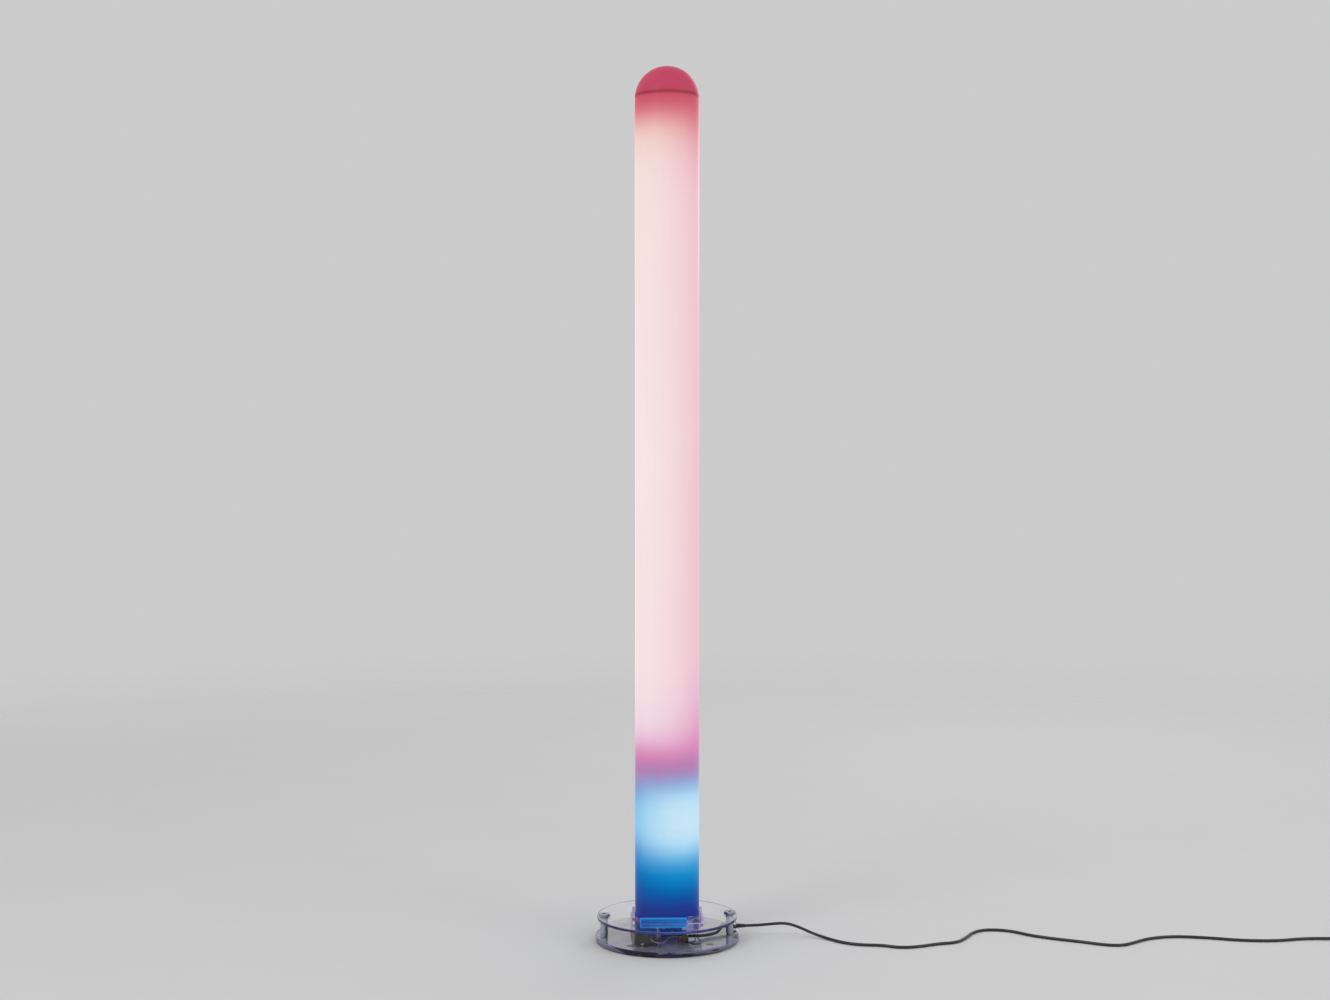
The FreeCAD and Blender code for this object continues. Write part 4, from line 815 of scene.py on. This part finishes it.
# Material, colour, roughness, the grain's scale and depth in mm, how much the shade
# varies, other settings, and the nodes that have it.
SURFACES = [
    ("pad_rubber", (0.62, 0.62, 0.64), 0.55, 900, 0.04, 0.06, {}, ["foot_pads"]),
    ("spacer_metal", (0.44, 0.46, 0.56), 0.44, 300, 0.02, 0.05, BRUSHED, ["spacers"]),
    ("cap_chrome", (0.42, 0.42, 0.47), 0.16, 500, 0.02, 0.05, METAL, ["cap_screws"]),
    ("screw_steel", (0.50, 0.50, 0.51), 0.28, 500, 0.04, 0.10, METAL,
     ["base_screws", "foot_screws", "foot_nuts", "holder_screws", "bracket_screws", "gear_screws",
      "switch_nut"]),
    ("white_enamel", (0.80, 0.80, 0.79), 0.38, 260, 0.06, 0.04, ENAMEL,
     ["foot_plate", "lamp_channel", "short_lamp_bracket"]),
    ("white_moulding", (0.80, 0.80, 0.77), 0.45, 700, 0.05, 0.05, {},
     ["lower_lampholder", "upper_lampholder", "short_lamp_holder"]),
    ("rotor_moulding", (0.72, 0.72, 0.69), 0.40, 700, 0.04, 0.05, {}, ["lower_rotor", "upper_rotor"]),
    ("lamp_base_moulding", (0.78, 0.78, 0.75), 0.42, 800, 0.04, 0.05, {}, ["short_lamp_base"]),
    ("lamp_cap_metal", (0.66, 0.66, 0.68), 0.30, 400, 0.04, 0.06, TURNED, ["long_lamp_caps"]),
    ("pin_brass", (0.72, 0.53, 0.24), 0.25, 600, 0.02, 0.08, METAL,
     ["long_lamp_pins", "short_lamp_pins", "terminal_screws", "switch_tabs"]),
    ("pin_nickel", (0.62, 0.60, 0.56), 0.22, 600, 0.02, 0.06, METAL, ["plug_pins"]),
    ("gear_lacquer", (0.040, 0.042, 0.044), 0.38, 180, 0.08, 0.20, {"Coat_Weight": 0.3},
     ["main_gear_case", "small_gear_case"]),
    ("connector_moulding", (0.07, 0.07, 0.075), 0.45, 700, 0.04, 0.15, {}, ["gear_end_blocks"]),
    ("terminal_moulding", (0.11, 0.050, 0.024), 0.38, 600, 0.05, 0.18, {"Coat_Weight": 0.2},
     ["terminal_block"]),
    ("switch_moulding", (0.022, 0.022, 0.024), 0.30, 800, 0.03, 0.15, {}, ["switch_body"]),
    ("button_moulding", (0.030, 0.030, 0.032), 0.24, 800, 0.03, 0.15, {"Coat_Weight": 0.4},
     ["switch_button"]),
    ("grommet_rubber", (0.025, 0.025, 0.025), 0.60, 700, 0.06, 0.15, {}, ["lead_grommet"]),
    ("bracket_acrylic", (0.90, 0.90, 0.94), 0.06, 500, 0.02, 0.03, CLEAR, ["cord_bracket"]),
    ("white_insulation", (0.74, 0.74, 0.71), 0.42, 500, 0.03, 0.05, {}, ["lamp_leads"]),
    ("grey_insulation", (0.26, 0.26, 0.29), 0.42, 500, 0.03, 0.08, {}, ["gear_leads"]),
    ("black_insulation", (0.022, 0.022, 0.022), 0.42, 500, 0.03, 0.15, {},
     ["switch_leads", "inner_mains_lead"]),
]
for *look, settings, names in SURFACES:
    give(surface(*look, **settings), *names)

# The same for the pieces made here.
CORD_SURFACES = [
    ("cord_sheath", (0.014, 0.014, 0.015), 0.36, 420, 0.03, 0.18, {"Coat_Weight": 0.15}, mains_cord),
    ("relief_rubber", (0.022, 0.022, 0.023), 0.52, 600, 0.05, 0.15, {}, relief),
    ("tie_nylon", (0.030, 0.030, 0.032), 0.40, 600, 0.05, 0.12, {}, tie),
    ("plug_moulding", (0.030, 0.030, 0.032), 0.44, 500, 0.07, 0.12, {}, plug),
]
for *look, settings, piece in CORD_SURFACES:
    material = surface(*look, **settings)
    for each in (piece, *piece.children):
        dress(each, material)

# --- floor, backdrop and light -----------------------------------------------------
PALE = (0.60, 0.60, 0.605)
FLOOR_RADIUS = 9.0
FLOOR_FADE = (1.4, 5.5)
SOFT_LIGHT = 0.80


def make_floor():
    """A wide pale floor that fades into the backdrop's colour."""
    bm = bmesh.new()
    bmesh.ops.create_circle(bm, cap_ends=True, segments=96, radius=FLOOR_RADIUS)
    floor = finish_mesh("floor", bm, smooth=False)
    m = Nodes("floor_paint")
    x, y, _ = m.axes()
    m.set(Base_Color=m.mix(m.spread(m.noise(3.0, 3.0), 0, 1), scaled(PALE, 0.985), PALE))
    m.set(Roughness=0.7, Specular_IOR_Level=0.25)
    fade = m.add("ShaderNodeMixShader")
    m.link(m.span(m.radius(x, y), *FLOOR_FADE, 0, 1, smooth=True), fade.inputs[0])
    m.link(m.shader.outputs[0], fade.inputs[1])
    m.link(m.add("ShaderNodeBsdfTransparent").outputs[0], fade.inputs[2])
    m.link(fade.outputs[0], m.tree.nodes["Material Output"].inputs[0])
    floor.data.materials.append(m.material)


def make_world():
    """The backdrop's plain colour for the camera and for glass, and soft light for the rest."""
    world = bpy.data.worlds.new("studio")
    scene.world = world
    world.use_nodes = True
    tree = world.node_tree
    back = tree.nodes["Background"]
    back.inputs[0].default_value = (*PALE, 1)
    back.inputs[1].default_value = 1.0
    soft = tree.nodes.new("ShaderNodeBackground")
    soft.inputs[0].default_value = (1.0, 1.0, 1.0, 1)
    soft.inputs[1].default_value = SOFT_LIGHT
    path = tree.nodes.new("ShaderNodeLightPath")
    seen = path.outputs["Is Camera Ray"]
    for name in ("Is Glossy Ray", "Is Transmission Ray"):
        either = tree.nodes.new("ShaderNodeMath")
        either.operation = "MAXIMUM"
        tree.links.new(seen, either.inputs[0])
        tree.links.new(path.outputs[name], either.inputs[1])
        seen = either.outputs[0]
    mix = tree.nodes.new("ShaderNodeMixShader")
    tree.links.new(seen, mix.inputs[0])
    tree.links.new(soft.outputs[0], mix.inputs[1])
    tree.links.new(back.outputs[0], mix.inputs[2])
    tree.links.new(mix.outputs[0], tree.nodes["World Output"].inputs[0])


def area_light(name, place, aim_height, size, power, gloss):
    """A round light that aims at a height of the lamp's axis."""
    data = bpy.data.lights.new(name, "AREA")
    data.shape = "DISK"
    data.size = size
    data.energy = power
    data.specular_factor = gloss
    light = bpy.data.objects.new(name, data)
    scene.collection.objects.link(light)
    light.location = place
    aim = Vector((0, 0, aim_height)) - Vector(place)
    light.rotation_euler = aim.to_track_quat("-Z", "Y").to_euler()


make_floor()
make_world()
area_light("key", (-2.6, -2.4, 3.0), aim_height=0.7, size=1.8, power=34, gloss=0.4)
area_light("fill", (2.8, -2.0, 2.2), aim_height=0.6, size=2.2, power=16, gloss=0.4)
area_light("back", (1.8, 2.8, 2.4), aim_height=0.5, size=2.0, power=16, gloss=0.2)

scene.view_settings.view_transform = "Standard"
